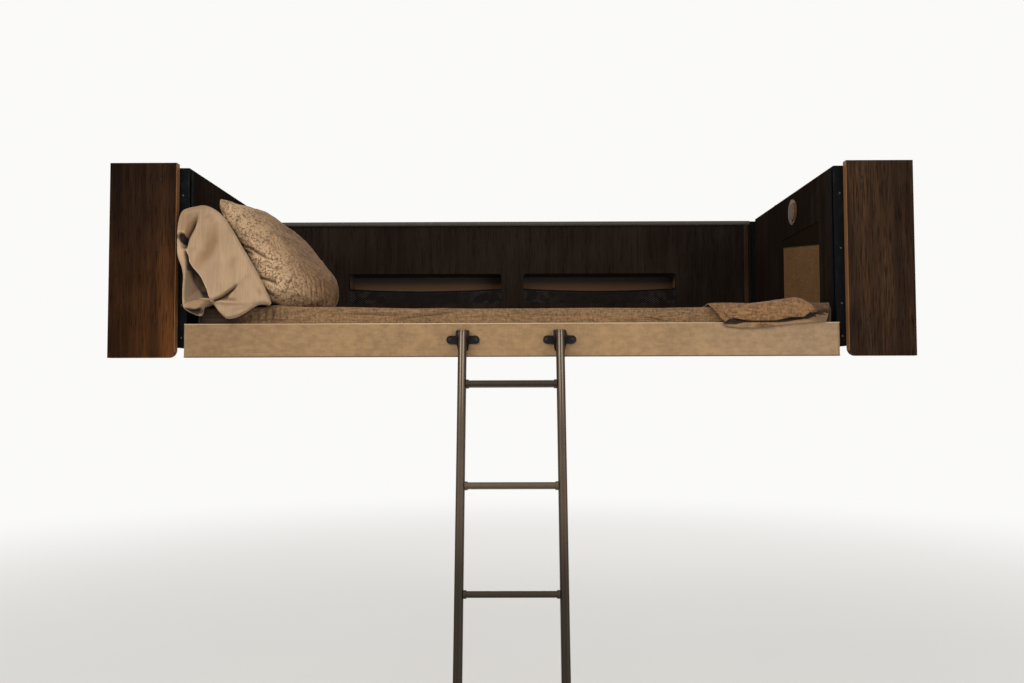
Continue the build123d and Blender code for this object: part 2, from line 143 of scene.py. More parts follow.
class BunkSizes(bpy.types.PropertyGroup):
    blanket_thread: size("Blanket thread", "Pitch of the blanket's slubs", 0.0056)
    blanket_wave: size("Blanket waves", "Height of the blanket's loose waves", 0.003)
    net_cell: size("Net cell", "Width of one diamond of the pocket nets", 0.013)
    net_bulge: size("Net bulge", "How far a net stands out at its middle", 0.003)
    elastic: size("Elastic", "Width of the net's elastic edge", 0.007)
    screw_head: size("Screw head", "Radius of the boards' screw caps", 0.0042)
    rail_screw: size("Rail screw", "Radius of the rails' screw heads", 0.0032)
    ear_screw: size("Bracket screw", "Radius of the ladder brackets' screw heads", 0.0055)
    mattress_crown: size("Mattress crown", "How far the mattress bulges", 0.004)
    piping: size("Piping", "Radius of the mattress piping", 0.003)
    case_depth: size("Case depth", "Depth of the plain pillow's open case end", 0.075)
    pillow_grid: size("Pillow grid", "Voxel of the pillows' even grid", 0.0065)
    plumping: size("Plumping", "How far a pillow's cloth may swell", 0.010)
    cloth_thickness: size("Cloth thickness", "Thickness of the folded throw's cloth", 0.0035)


def maths(operation, turned=False):
    """A method that adds a Math node on its wire and what it is given, or the other way round."""

    def method(self, *others):
        values = (*others, self) if turned else (self, *others)
        return self.tree.add("ShaderNodeMath", {"operation": operation}, dict(enumerate(values)))

    return method


class Wire:
    """A socket of a node tree. Sums on wires and numbers add Math nodes."""

    def __init__(self, tree, socket):
        self.tree = tree
        self.socket = socket

    __add__ = __radd__ = maths("ADD")
    __sub__, __rsub__ = maths("SUBTRACT"), maths("SUBTRACT", turned=True)
    __mul__ = __rmul__ = maths("MULTIPLY")
    __truediv__, __pow__, __mod__ = maths("DIVIDE"), maths("POWER"), maths("FLOORED_MODULO")
    __lt__, __abs__ = maths("LESS_THAN"), maths("ABSOLUTE")
    sine, floor, lower, upper = maths("SINE"), maths("FLOOR"), maths("MINIMUM"), maths("MAXIMUM")

    def clamped(self):
        return self.tree.add("ShaderNodeMath", {"operation": "ADD", "use_clamp": True}, {0: self, 1: 0.0})

    def ramp(self, low, high):
        """0 below low, 1 above high, and smooth between."""
        sockets = {"Value": self, "From Min": low, "From Max": high}
        return self.tree.add("ShaderNodeMapRange", {"interpolation_type": "SMOOTHSTEP"}, sockets)


class Tree:
    """The nodes of a material or of the world."""

    def __init__(self, owner):
        owner.use_nodes = True
        self.nodes, self.links = owner.node_tree.nodes, owner.node_tree.links
        self.nodes.clear()

    def add(self, kind, settings=None, sockets=None, output=0):
        """A node of a kind, with its settings made first and then its sockets: the wire that leaves it."""
        node = self.nodes.new(kind)
        for key, value in (settings or {}).items():
            setattr(node, key, value)
        for key, value in (sockets or {}).items():
            self.plug(node.inputs[key], value)
        return Wire(self, node.outputs[output]) if node.outputs else node

    def plug(self, socket, value):
        """Links a wire to a socket, or gives the socket a value."""
        if isinstance(value, Wire):
            self.links.new(value.socket, socket)
        elif socket.type == "RGBA" and len(value) == 3:
            socket.default_value = (*value, 1)
        else:
            socket.default_value = value

    def seen(self):
        """1 for the rays that show the backdrop: straight ones, mirrored ones and those through glass."""
        ways = ("Is Camera Ray", "Is Glossy Ray", "Is Transmission Ray")
        straight, mirrored, through = (self.add("ShaderNodeLightPath", output=way) for way in ways)
        return straight.upper(mirrored).upper(through)


class Recipe(Tree):
    """One procedural material, with its coordinates in the object's own frame."""

    def __init__(self, name, **values):
        self.material = bpy.data.materials.new(name)
        super().__init__(self.material)
        self.surface = self.add("ShaderNodeBsdfPrincipled")
        self.output = self.add("ShaderNodeOutputMaterial", {}, {0: self.surface})
        self.feed(**{"Roughness": 0.6, **values})
        self.place = self.add("ShaderNodeTexCoord", output="Object")
        split = self.add("ShaderNodeSeparateXYZ", {}, {0: self.place})
        self.x, self.y, self.z = (Wire(self, out) for out in split.socket.node.outputs)

    def feed(self, **sockets):
        for key, value in sockets.items():
            self.plug(self.surface.socket.node.inputs[key.replace("_", " ")], value)

    def noise(self, scale, detail=3.0, roughness=0.5, distortion=0.0):
        """Noise over the place at one scale, or at one for each axis, or over another vector."""
        if isinstance(scale, tuple):
            scale = self.add("ShaderNodeVectorMath", {"operation": "MULTIPLY"}, {0: self.place, 1: scale})
        vector, scale = (scale, 1.0) if isinstance(scale, Wire) else (self.place, scale)
        sockets = {"Vector": vector, "Scale": scale, "Detail": detail, "Roughness": roughness}
        return self.add("ShaderNodeTexNoise", {}, {**sockets, "Distortion": distortion})

    def mix(self, share, first, second, blend="MIX"):
        """A colour between two colours."""
        settings = {"data_type": "RGBA", "blend_type": blend}
        return self.add("ShaderNodeMix", settings, {0: share, 6: first, 7: second}, output=2)

    def times(self, base, factors):
        """A colour multiplied by constant factors."""
        return self.mix(1.0, base, factors, "MULTIPLY")

    def over(self, base, *layers):
        """A colour with other colours over it, each by its share."""
        for share, tint in layers:
            base = self.mix(share, base, tint)
        return base

    def painted(self, base, **tints):
        """A colour with other colours over it, by the shares that the mesh's points hold under their names."""
        shares = (self.add("ShaderNodeAttribute", {"attribute_name": name}, output="Fac") for name in tints)
        return self.over(base, *zip(shares, tints.values()))

    def bump(self, height, distance, strength=1.0):
        """Relief of a height that runs from 0 to 1 over a distance in metres."""
        sockets = {"Height": height, "Distance": distance, "Strength": strength}
        self.feed(Normal=self.add("ShaderNodeBump", {}, sockets))


def shade(tint, share):
    """A colour made darker or lighter."""
    return tuple(channel * share for channel in tint)


def tinted(tint, shares):
    """A colour with a share for each channel."""
    return tuple(channel * share for channel, share in zip(tint, shares))


def walnut(name, tint, streak, gloss=0.0, light_and_bands=None):
    """Veneer with fine upright streaks, whose colour may be changed by painted light and shade and by banded edges."""
    wood = Recipe(name, Specular_IOR_Level=gloss)
    cloud = wood.noise(3.2, detail=2.0).ramp(0.35, 0.68)
    figure = wood.noise((30, 30, 1.3), detail=5.0, roughness=0.62, distortion=0.5).ramp(0.33, 0.7)
    thread = wood.noise((270, 270, 15.6), detail=2.0, roughness=0.6)
    pores = thread.ramp(0.47, 0.36)
    tone = (figure * 0.62 + cloud * 0.38).clamped()
    grain = wood.mix(tone, streak, wood.mix(cloud * 0.35, tint, shade(tint, 1.7)))
    grain = wood.mix(pores * 0.55, grain, shade(streak, 0.45))
    wood.feed(Base_Color=light_and_bands(wood, grain, figure, thread) if light_and_bands else grain)
    wood.feed(Roughness=0.5 + pores * 0.25 - tone * 0.08)
    wood.bump(1 - pores, 0.00015, 0.5)
    return wood.material


def laminate(tint, right_end):
    """The fascia's printed laminate: soft cloud, fine level lines low down, and a warm band at its right end."""
    skin = Recipe("fascia_laminate", Specular_IOR_Level=0.25)
    cloud = skin.noise(3.4, detail=4.0, roughness=0.55).ramp(0.3, 0.7)
    thread = skin.noise((26, 26, 900))
    cross = skin.noise((420, 26, 26), detail=2.0)
    mottle = skin.noise((42, 42, 66), detail=4.0, roughness=0.6).ramp(0.3, 0.7)
    lines = skin.noise((2.2, 2.2, 420), detail=2.0).ramp(0.56, 0.66)
    lines = lines * skin.z.ramp(-0.553, -0.566) * skin.noise((3, 3, 3)).ramp(0.42, 0.6)
    left, right = skin.x.ramp(-0.45, -0.98), skin.x.ramp(0.25, 0.9)
    base = skin.over(tint, (left * 0.75, shade(tint, 0.86)), (right * 0.8, tinted(tint, (1.0, 1.08, 1.26))))
    tone = cloud * 0.3 + mottle * 0.5 + thread.ramp(0.35, 0.65) * 0.1 + cross.ramp(0.35, 0.65) * 0.1
    grain = skin.mix(tone.clamped(), skin.times(base, (0.72, 0.71, 0.69)), skin.times(base, (1.26, 1.25, 1.24)))
    band = skin.x.ramp(right_end - 0.0075, right_end - 0.0055)
    skin.feed(Base_Color=skin.over(grain, (lines * 0.5, shade(tint, 1.32)), (band * 0.7, srgb(132, 102, 68))))
    skin.feed(Roughness=0.5 + cross * 0.12)
    skin.bump(thread * 0.5 + cross * 0.5, 0.0001)
    return skin.material


def linen(name, tint, ways, contrast, roughness=0.6, relief=0.00012, gloss=0.3, shadow=None):
    """A flat linen surface: fine uneven threads along two axes."""
    cloth = Recipe(name, Specular_IOR_Level=gloss)
    fine, slow = 420.0, 420.0 / 22
    one, two = (cloth.noise(tuple(fine if axis == way else slow for axis in "XYZ"), detail=2.0) for way in ways)
    threads = one * 0.5 + two * 0.5
    share = (threads.ramp(0.36, 0.64) * 0.7 + cloth.noise(5.0).ramp(0.3, 0.7) * 0.3).clamped()
    base = cloth.mix(share, shade(tint, 1 - contrast), shade(tint, 1 + contrast))
    cloth.feed(Base_Color=shadow(cloth, base) if shadow else base, Roughness=roughness + threads * 0.12)
    cloth.bump(threads, relief)
    return cloth.material


def moulded(name, tint, roughness=0.5, grain=1400.0, metallic=0.0, relief=0.00008, gloss=0.5):
    """Moulded, cast or coated surface with a fine grain and faint rub marks."""
    skin = Recipe(name, Metallic=metallic, Specular_IOR_Level=gloss)
    pebble = skin.noise(grain, detail=2.0)
    rub = skin.noise((60, 60, 25), detail=4.0).ramp(0.52, 0.72)
    skin.feed(Base_Color=skin.mix(rub * 0.35, tint, tuple(channel * 1.5 + 0.01 for channel in tint)))
    skin.feed(Roughness=roughness + pebble * 0.12 - rub * 0.1)
    skin.bump(pebble, relief)
    return skin.material


def top_edge(tint):
    """Cream lacquered edge of the fascia, painted bright as a highlight that grows dimmer toward its ends."""
    edge = Recipe("fascia_edge", Specular_IOR_Level=0.4)
    cloud = edge.noise((9, 9, 200))
    ends = abs(edge.x + 0.03).ramp(0.35, 0.75)
    bright = edge.mix(ends * 0.75, tint, shade(tint, 0.62))
    edge.feed(Base_Color=edge.mix(cloud, edge.times(bright, (0.88, 0.88, 0.88)), bright))
    edge.feed(Roughness=0.32 + cloud * 0.1)
    return edge.material


def bronze_tube(name, tint, middle=None):
    """Anodised ladder tube, drawn lengthwise.

    With a middle, it has painted shade on its flanks, two fine lines of painted highlight beside the middle near its
    head with a dark line between them, and painted shade toward its foot."""
    tube = Recipe(name, Metallic=0.3, Specular_IOR_Level=0.2)
    drawn = tube.noise((900, 900, 22))
    blot = tube.noise(14.0, detail=4.0).ramp(0.4, 0.7)
    tone = (drawn.ramp(0.3, 0.7) * 0.6 + blot * 0.4).clamped()
    base = tube.mix(tone, shade(tint, 0.8), shade(tint, 1.2))
    if middle:
        away = abs(abs(tube.x) - middle)
        head = tube.z.ramp(-0.82, -0.60)
        base = tube.over(
            base,
            (tube.z.ramp(-0.97, -1.25), shade(tint, 0.32)),
            (away.ramp(0.0065, 0.009) * (head * 0.4 + 0.45), shade(tint, 0.28)),
            (abs(away - 0.0036).ramp(0.0022, 0.0009) * head, srgb(150, 134, 115)),
            (away.ramp(0.0016, 0.0006) * head * 0.8, srgb(58, 37, 27)),
        )
    tube.feed(Base_Color=base, Roughness=0.38 + drawn * 0.1 + blot * 0.08)
    tube.bump(drawn, 0.00003)
    return tube.material


def galvanised(tint):
    """Zinc sheet with its crystals."""
    sheet = Recipe("galvanised_zinc", Metallic=0.9)
    cells = sheet.add("ShaderNodeTexVoronoi", {}, {"Vector": sheet.place, "Scale": 90.0}, output="Color")
    hue = sheet.add("ShaderNodeSeparateColor", {}, {0: cells})
    cloud = sheet.noise(9.0, detail=4.0)
    tone = (hue * 0.5 + cloud * 0.5).clamped()
    sheet.feed(Base_Color=sheet.mix(tone, shade(tint, 0.7), tint), Roughness=0.34 + hue * 0.22)
    return sheet.material


def plywood(tint):
    """Birch face, with the plies showing on the edges."""
    board = Recipe("birch_plywood")
    normal = board.add("ShaderNodeNewGeometry", output="Normal")
    face = abs(board.add("ShaderNodeSeparateXYZ", {}, {0: normal}, output="Z")).ramp(0.5, 0.7)
    grain = board.noise((4, 60, 60), detail=4.0, distortion=0.3).ramp(0.35, 0.65)
    plies = (board.z * (2 * math.pi / 0.003)).sine().ramp(-0.2, 0.2)
    tone = grain * face + plies * (1 - face)
    board.feed(Base_Color=board.mix(tone, shade(tint, 0.68), tint), Roughness=0.62 + tone * 0.08)
    board.bump(tone, 0.0001)
    return board.material


def perforated(tint, hole, centre, radius):
    """A speaker cover: moulded rim and a grille of small round holes."""
    cover = Recipe("speaker_grille", Specular_IOR_Level=0.08)
    pitch = 0.0042
    across = (cover.y - centre[1]) / pitch
    up = (cover.z - centre[2]) / (pitch * ROW)
    row = up.floor()
    u = (across + (row % 2) * 0.5) % 1 - 0.5
    v = up - row - 0.5
    spot = (u * u + v * v * 0.75) ** 0.5
    reach = ((across * across + up * up * 0.75) ** 0.5) * pitch
    holes = spot.ramp(0.34, 0.26) * (reach < radius)
    cloud = cover.noise(60.0, detail=2.0)
    cover.feed(Base_Color=cover.mix(holes, cover.mix(cloud, shade(tint, 0.92), shade(tint, 1.06)), hole))
    cover.feed(Roughness=0.5 + holes * 0.3)
    cover.bump(1 - holes, 0.0006)
    return cover.material


def felt(tint, low, high, centre, reach, shell):
    """Short needled fibres, with painted light within the shell between an arc that a net's edge follows and a level
    line, and painted shade below the arc and above the line.
    """
    cloth = Recipe("pocket_felt", Roughness=0.95, Specular_IOR_Level=0.0)
    fibre = cloth.noise(420.0, detail=5.0, roughness=0.7)
    cloud = cloth.noise((14, 14, 40))
    tone = (fibre.ramp(0.3, 0.7) * 0.6 + cloud * 0.4).clamped()
    across = abs(cloth.x) - centre
    along = across / reach
    above = cloth.z - low - along * along * NET_SAG
    lit = above.ramp(-0.004, 0.001) * cloth.z.ramp(high + 0.005, high - 0.003)
    header_shade, outside = srgb(98, 96, 94), srgb(46, 44, 42)
    base = cloth.mix(lit, cloth.mix(above.ramp(0.0, 0.002), shade(tint, 0.05), header_shade), tint)
    for place, face in zip((abs(across), cloth.y, cloth.z), shell):
        base = cloth.mix(place.ramp(face, face - 0.0004), outside, base)
    cloth.feed(Base_Color=cloth.mix(tone, cloth.times(base, (0.75, 0.75, 0.75)), base))
    cloth.bump(fibre, 0.0004)
    return cloth.material


def netting(tint, cell, centre, reach):
    """Knotted net of diamond cells, open between its strands, whose strands get a painted highlight toward its ends."""
    net = Recipe("pocket_netting", Roughness=0.8, Specular_IOR_Level=0.2)
    u = net.x / cell
    v = net.z / (cell * 0.62)
    cover = abs((u + v) % 1 - 0.5).lower(abs((u - v) % 1 - 0.5))
    strand = cover.ramp(0.185, 0.155)
    ends = abs((abs(net.x) - centre) / reach).ramp(0.4, 0.8)
    crest = cover.ramp(0.10, 0.04) * net.noise(30.0).ramp(0.42, 0.6) * (ends * 0.85 + 0.15)
    net.feed(Base_Color=net.mix(crest, tint, shade(tint, 9.0)), Alpha=strand)
    net.bump(crest, 0.0003)
    return net.material


def ticking(tint):
    """Close navy mattress cover with a fine pale stripe in its weave."""
    cover = Recipe("mattress_ticking", Roughness=0.85, Sheen_Weight=0.15)
    stripe = (cover.x * (2 * math.pi / 0.012)).sine().ramp(0.93, 0.99)
    turn = 2 * math.pi / 0.0016
    base = cover.mix(cover.noise(7.0), shade(tint, 0.8), shade(tint, 1.15))
    cover.feed(Base_Color=cover.mix(stripe * 0.25, base, shade(tint, 2.4)))
    cover.bump((cover.x * turn).sine() * (cover.y * turn).sine() * 0.5 + 0.5, 0.0003)
    return cover.material


def woollen(name, tint, pitch, contrast, shadow):
    """A soft open weave with slubs, for the blanket and the throw, whose colour a painted shadow changes."""
    cloth = Recipe(name, Roughness=0.92, Sheen_Weight=0.1, Sheen_Roughness=0.6, Specular_IOR_Level=0.1)
    slub = cloth.noise((0.22 / pitch, 0.5 / pitch, 1.3 / pitch), roughness=0.6)
    thread = cloth.noise((1.0 / pitch, 0.3 / pitch, 0.45 / pitch), detail=2.0, roughness=0.6)
    fleck = cloth.noise(0.8 / pitch, detail=2.0)
    tone = slub.ramp(0.36, 0.64) * 0.32 + thread.ramp(0.34, 0.66) * 0.28 + fleck.ramp(0.34, 0.66) * 0.22
    tone = (tone + cloth.noise((4, 6, 22), detail=4.0).ramp(0.3, 0.7) * 0.18).clamped()
    base = cloth.mix(tone, shade(tint, 1 - contrast * 1.5), shade(tint, 1 + contrast * 1.3))
    cloth.feed(Base_Color=shadow(cloth, base))
    cloth.bump(slub * 0.4 + thread * 0.4 + fleck * 0.2, 0.0022, 0.8)
    return cloth.material


def cotton(name, tint, sheen):
    """Washed cotton with soft creases: its recipe, and the colour that is still to be fed to it."""
    cloth = Recipe(name, Roughness=0.88, Sheen_Weight=sheen, Sheen_Roughness=0.5, Specular_IOR_Level=0.15)
    fine = cloth.noise(700.0, detail=2.0)
    warp = cloth.noise((420, 60, 6), detail=2.0)
    crease = cloth.noise((26, 26, 9), detail=5.0, roughness=0.6, distortion=0.8)
    tone = crease.ramp(0.3, 0.7) * 0.35 + cloth.noise(5.0).ramp(0.3, 0.7) * 0.3 + fine * 0.15
    tone = (tone + warp.ramp(0.35, 0.65) * 0.2).clamped()
    cloth.bump(crease * 0.8 + fine * 0.2, 0.0016, 0.6)
    return cloth, cloth.mix(tone, shade(tint, 0.7), shade(tint, 1.2))


def plain_cotton(tint, **shades):
    """Plain cotton, with the painted shades and highlights that its mesh's points hold."""
    cloth, base = cotton("plain_cotton", tint, 0.1)
    cloth.feed(Base_Color=cloth.painted(base, **shades))
    return cloth.material


def speckled_cotton(tint, speck, shade_brown, **shades):
    """Cotton printed all over with a close crackle of small broken specks, with browner, streaked painted shade on its
    right side, where the print is fainter, and a painted highlight low on its left.
    """
    cloth, ground = cotton("speckled_cotton", tint, 0.03)
    run = cloth.noise(138.0, roughness=0.62, distortion=0.8)
    fine = cloth.noise(190.0, detail=2.0, roughness=0.6)
    spread = cloth.noise(22.0).ramp(0.3, 0.7)
    crackle = ((spread * 0.085 + 0.435 - run) * 17).clamped()
    dots = ((0.43 - fine) * 15).clamped()
    motif = (crackle * 0.8 + dots * 0.6).clamped()
    shaded_end = (cloth.x + cloth.z * 0.62).ramp(-0.95, -0.80)
    across, along = cloth.x * 0.634 + cloth.z * 0.773, cloth.x * 0.773 - cloth.z * 0.634
    lengthwise = cloth.add("ShaderNodeCombineXYZ", {}, {0: across * 260, 1: cloth.y * 40, 2: along * 34})
    streak = cloth.noise(lengthwise, roughness=0.6).ramp(0.36, 0.62)
    # A painted highlight on the lower left of the near end
    low = cloth.z.ramp(-0.32, -0.42) * cloth.x.ramp(-0.60, -0.70)
    base = cloth.over(
        ground,
        (shaded_end * 0.85, cloth.mix(streak, shade(shade_brown, 0.5), shade(shade_brown, 1.3))),
        (low * 0.3, shade(tint, 1.3)),
        (motif * (0.88 - shaded_end * 0.3), speck),
    )
    cloth.feed(Base_Color=cloth.painted(base, **shades))
    return cloth.material


def nearest(flat, corners):
    """How far points are from a line of corners, the side they lie on, and how far along it they are."""
    corners = np.asarray(corners, float)
    steps = np.diff(corners, axis=0)
    run = np.concatenate([[0], np.cumsum(np.linalg.norm(steps, axis=1))])
    run /= run[-1]
    away, side, along = np.full(len(flat), np.inf), np.zeros(len(flat)), np.zeros(len(flat))
    for corner, step, start, end in zip(corners, steps, run, run[1:]):
        share = np.clip(((flat - corner) @ step) / (step @ step), 0, 1)
        gap = flat - corner - share[:, None] * step
        reach = np.hypot(gap[:, 0], gap[:, 1])
        closer = reach < away
        away = np.where(closer, reach, away)
        side = np.where(closer, np.sign(step[0] * gap[:, 1] - step[1] * gap[:, 0]), side)
        along = np.where(closer, start + share * (end - start), along)
    return away, side, along


def groove(flat, corners, width, start=0.4, end=0.4):
    """A bell across a line of corners, from 0 to 1, that fades to the given shares at the line's ends."""
    away, _, along = nearest(flat, corners)
    fade = np.interp(along, (0, 0.3, 0.7, 1), (start, 1, 1, end))
    return fade * np.exp(-((away / width) ** 2))


def ledge(flat, corners, width, start=1.0, end=0.0):
    """A step across a line: 1 on the line's left side, falling off with distance, and 0 on its right."""
    away, side, along = nearest(flat, corners)
    return np.interp(along, (0, 1), (start, end)) * np.exp(-((away / width) ** 2)) * (side > 0)


def inside(flat, line):
    """Which points lie inside a closed line."""
    line = np.asarray(line, float)
    crossed = np.zeros(len(flat), bool)
    for (ax, az), (bx, bz) in zip(line, np.roll(line, -1, 0)):
        if az != bz:
            spans = (az > flat[:, 1]) != (bz > flat[:, 1])
            crossed ^= spans & (flat[:, 0] < (bx - ax) * (flat[:, 1] - az) / (bz - az) + ax)
    return crossed


def loop(line):
    """The corners of a closed line, with the first one again at its end."""
    return np.vstack([line, line[:1]]).astype(float)


def patch(flat, line, soft):
    """How far points lie inside a closed line, from 0 to 1, softened over a distance at the line."""
    reach = nearest(flat, loop(line))[0]
    return np.clip(0.5 + np.where(inside(flat, line), reach, -reach) / soft, 0, 1)


def standing(flat, y):
    """Points of (X, Z) set at their places in Y."""
    return np.column_stack([flat[:, 0], np.broadcast_to(y, len(flat)), flat[:, 1]])


def paint(piece, **shares):
    """Gives a piece's points a share from 0 to 1 under each name, which its material reads."""
    for name, share in shares.items():
        layer = piece.data.attributes.new(name, "FLOAT", "POINT")
        layer.data.foreach_set("value", np.clip(share, 0, 1).astype(np.float32))


def filled(outer, inner, pitch):
    """Points and triangles inside a closed line, on an even grid, and outside another where one is given."""
    low, high = outer.min(0), outer.max(0)
    across = np.arange(low[0], high[0], pitch)
    up = np.arange(low[1], high[1], pitch * ROW)
    grid = np.array([(x + (row % 2) * pitch / 2, z) for row, z in enumerate(up) for x in across])
    hole = np.zeros((0, 2)) if inner is None else inner
    clear = inside(grid, outer) & ~inside(grid, hole)
    edges = []
    for start, ring in ((0, outer), (len(outer), hole)):
        if len(ring):
            clear &= nearest(grid, loop(ring))[0] > pitch * 0.55
        edges += [(start + n, start + (n + 1) % len(ring)) for n in range(len(ring))]
    flat = np.vstack([outer, hole, grid[clear]])
    spots, _, faces, *_ = geometry.delaunay_2d_cdt([Vector(spot) for spot in flat.tolist()], edges, [], 0, 1e-7)
    spots, faces = np.array([tuple(spot) for spot in spots]), np.array(faces)
    middle = spots[faces].mean(1)
    return spots, faces[inside(middle, outer) & ~inside(middle, hole)]


def welded(points, faces):
    """The same surface with points that lie on each other joined."""
    _, first, joined = np.unique(np.round(points, 5), axis=0, return_index=True, return_inverse=True)
    joined = joined.reshape(-1)
    rings = (tuple(dict.fromkeys(int(joined[corner]) for corner in face)) for face in faces)
    return points[first], [ring for ring in rings if len(ring) > 2]


def positions(mesh, name="co"):
    """The places of a mesh's points, or another vector that they have."""
    spots = np.empty(len(mesh.vertices) * 3)
    mesh.vertices.foreach_get(name, spots)
    return spots.reshape(-1, 3)


def linked(name, data):
    """An object of a mesh, a lamp or a camera, in the scene."""
    thing = bpy.data.objects.new(name, data)
    bpy.context.scene.collection.objects.link(thing)
    return thing


def new_mesh(name, points, faces):
    mesh = bpy.data.meshes.new(name)
    mesh.from_pydata([tuple(map(float, point)) for point in points], [], faces)
    return mesh


def plumped(points, faces, voxel, growth, reach):
    """A closed form on an even grid, swollen as cloth with air inside, whose points move no further than reach.

    Gives its points, their normals and its faces."""
    scene = bpy.context.scene
    form = linked("stuffing", new_mesh("stuffing", points, faces))

    def applied():
        shaped = form.evaluated_get(bpy.context.evaluated_depsgraph_get())
        return bpy.data.meshes.new_from_object(shaped)

    remesh = form.modifiers.new("even", "REMESH")
    remesh.mode, remesh.voxel_size = "VOXEL", voxel
    even = applied()
    form.modifiers.clear()
    form.data = even
    start = positions(even)
    cloth = form.modifiers.new("cloth", "CLOTH")
    cloth.settings.use_pressure = True
    cloth.settings.uniform_pressure_force = CLOTH_PRESSURE
    cloth.settings.shrink_min = -growth
    cloth.settings.quality = 5
    cloth.settings.effector_weights.gravity = 0.0
    for step in range(CLOTH_STEPS):
        scene.frame_set(step + 1)
    move = positions(applied()) - start
    form.modifiers.clear()
    scene.frame_set(1)
    far = np.linalg.norm(move, axis=1)
    move *= (reach * np.tanh(far / reach) / np.maximum(far, 1e-9))[:, None]
    even.vertices.foreach_set("co", (start + move).ravel())
    even.update()
    form.modifiers.new("smooth", "SUBSURF").levels = 1
    final = applied()
    result = positions(final), positions(final, "normal"), [tuple(face.vertices) for face in final.polygons]
    bpy.data.objects.remove(form)
    return result


def ruffles(points, scale, seed=0.0):
    """Smooth noise from -1 to 1 at each point."""
    return np.array([noise.noise(Vector(spot)) for spot in points * np.array(scale) + (seed, 0, 0)])


def make_piece(name, points, faces, material, body):
    """A mesh piece that rides on a body."""
    mesh = new_mesh(name, points, faces)
    mesh.validate()
    mesh.materials.append(material)
    mesh.polygons.foreach_set("use_smooth", [True] * len(mesh.polygons))
    mesh.update()
    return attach(linked(name, mesh), body)


def lofted(rings, around=True, caps=(False, False)):
    """Points and quads that join rings of equal length, with a fan over the first and the last if they have caps."""
    rings = np.asarray(rings, float)
    rows, columns = rings.shape[:2]
    points = [tuple(point) for point in rings.reshape(-1, 3)]
    faces = []
    for here in range(0, (rows - 1) * columns, columns):
        above = here + columns
        for column in range(columns if around else columns - 1):
            right = (column + 1) % columns
            faces.append((here + column, here + right, above + right, above + column))
    for capped, row in zip(caps, (0, rows - 1)):
        if capped:
            points.append(tuple(rings[row].mean(0)))
            centre, start = len(points) - 1, row * columns
            for column in range(columns):
                edge = (start + column, start + (column + 1) % columns)
                faces.append((*(edge if row else edge[::-1]), centre))
    return points, faces


def smooth_line(corners, count, closed=False):
    """Evenly spaced points on a smooth line through corners."""
    corners = np.asarray(corners, float)
    before, after = corners[:1] * 2 - corners[1:2], corners[-1:] * 2 - corners[-2:-1]
    if closed:
        before, after = corners[-1:], corners[:2]
    padded = np.vstack([before, corners, after])
    dense = []
    for a, b, c, d in zip(padded, padded[1:], padded[2:], padded[3:]):
        slope, bend, twist = c - a, 2 * a - 5 * b + 4 * c - d, 3 * b - a - 3 * c + d
        dense += [0.5 * (2 * b + slope * t + bend * t**2 + twist * t**3) for t in np.linspace(0, 1, 24, endpoint=False)]
    dense = np.array([*dense, corners[0 if closed else -1]])
    run = np.concatenate([[0], np.cumsum(np.linalg.norm(np.diff(dense, axis=0), axis=1))])
    stops = np.linspace(0, run[-1], count, endpoint=not closed)
    return np.stack([np.interp(stops, run, dense[:, axis]) for axis in range(dense.shape[1])], axis=1)


def piping(name, line, radius, material, body):
    """A round cord along a closed, level line of points."""
    line = np.asarray(line, float)
    ahead = np.roll(line, -1, 0) - np.roll(line, 1, 0)
    ahead /= np.linalg.norm(ahead, axis=1)[:, None]
    side = np.cross(ahead, (0.0, 0.0, 1.0))
    side /= np.linalg.norm(side, axis=1)[:, None]
    turns = np.linspace(0, 2 * math.pi, 8, endpoint=False)[:, None]
    rings = [
        centre + radius * (np.cos(turns) * across + np.sin(turns) * over)
        for centre, across, over in zip(line, side, np.cross(side, ahead))
    ]
    return make_piece(name, *lofted([*rings, rings[0]]), material, body)


def screw_head(name, centre, radius, material, body):
    """A low domed screw head that faces the front, with a cross recess, all in shares of its radius."""
    shares = (0.0, 0.12, 0.22, 0.34, 0.46, 0.58, 0.72, 0.86, 0.96, 1.0, 1.0)
    spokes, dome, skirt = 40, 0.42, -0.3
    recess_reach, recess_half, recess_depth = 0.6, 0.13, 0.26
    rings = []
    for number, share in enumerate(shares):
        ring = []
        for spoke in range(spokes):
            turn = 2 * math.pi * spoke / spokes
            u, v = share * math.cos(turn), share * math.sin(turn)
            height = dome * math.sqrt(max(0.0, 1 - (share * 0.95) ** 2))
            if share < recess_reach and min(abs(u), abs(v)) < recess_half:
                height -= recess_depth
            if number == len(shares) - 1:
                height = skirt
            ring.append((u * radius, v * radius, height * radius))
        rings.append(ring)
    points, faces = lofted(rings)
    place = Matrix.Translation(centre) @ Vector((0, -1, 0)).to_track_quat("Z", "Y").to_matrix().to_4x4()
    return make_piece(name, [place @ Vector(point) for point in points], faces, material, body)


def screw_row(name, places, y, radius, material, body):
    """Screws on the front of both sides of the bunk, at places of (X, Z) on its right side."""
    for label, side in SIDES:
        for number, (x, z) in enumerate(places):
            screw_head(f"{name}_{label}_{number + 1}", (side * x, y, z), radius, material, body)


def dress(material, *nodes):
    """Gives CAD nodes a material."""
    for name in nodes:
        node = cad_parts[name]
        if not node.material_slots:
            node.data.materials.append(material)
        for slot in node.material_slots:
            slot.material = material


def both(*stems):
    return [f"{stem}_{label}" for stem in stems for label, _ in SIDES]


class BunkStep(bpy.types.Operator):
    """Base of the bunk's steps"""

    bl_options = {"REGISTER", "UNDO"}

    def execute(self, context):
        self.make(context.scene.bunk_colours, context.scene.bunk_sizes)
        return {"FINISHED"}


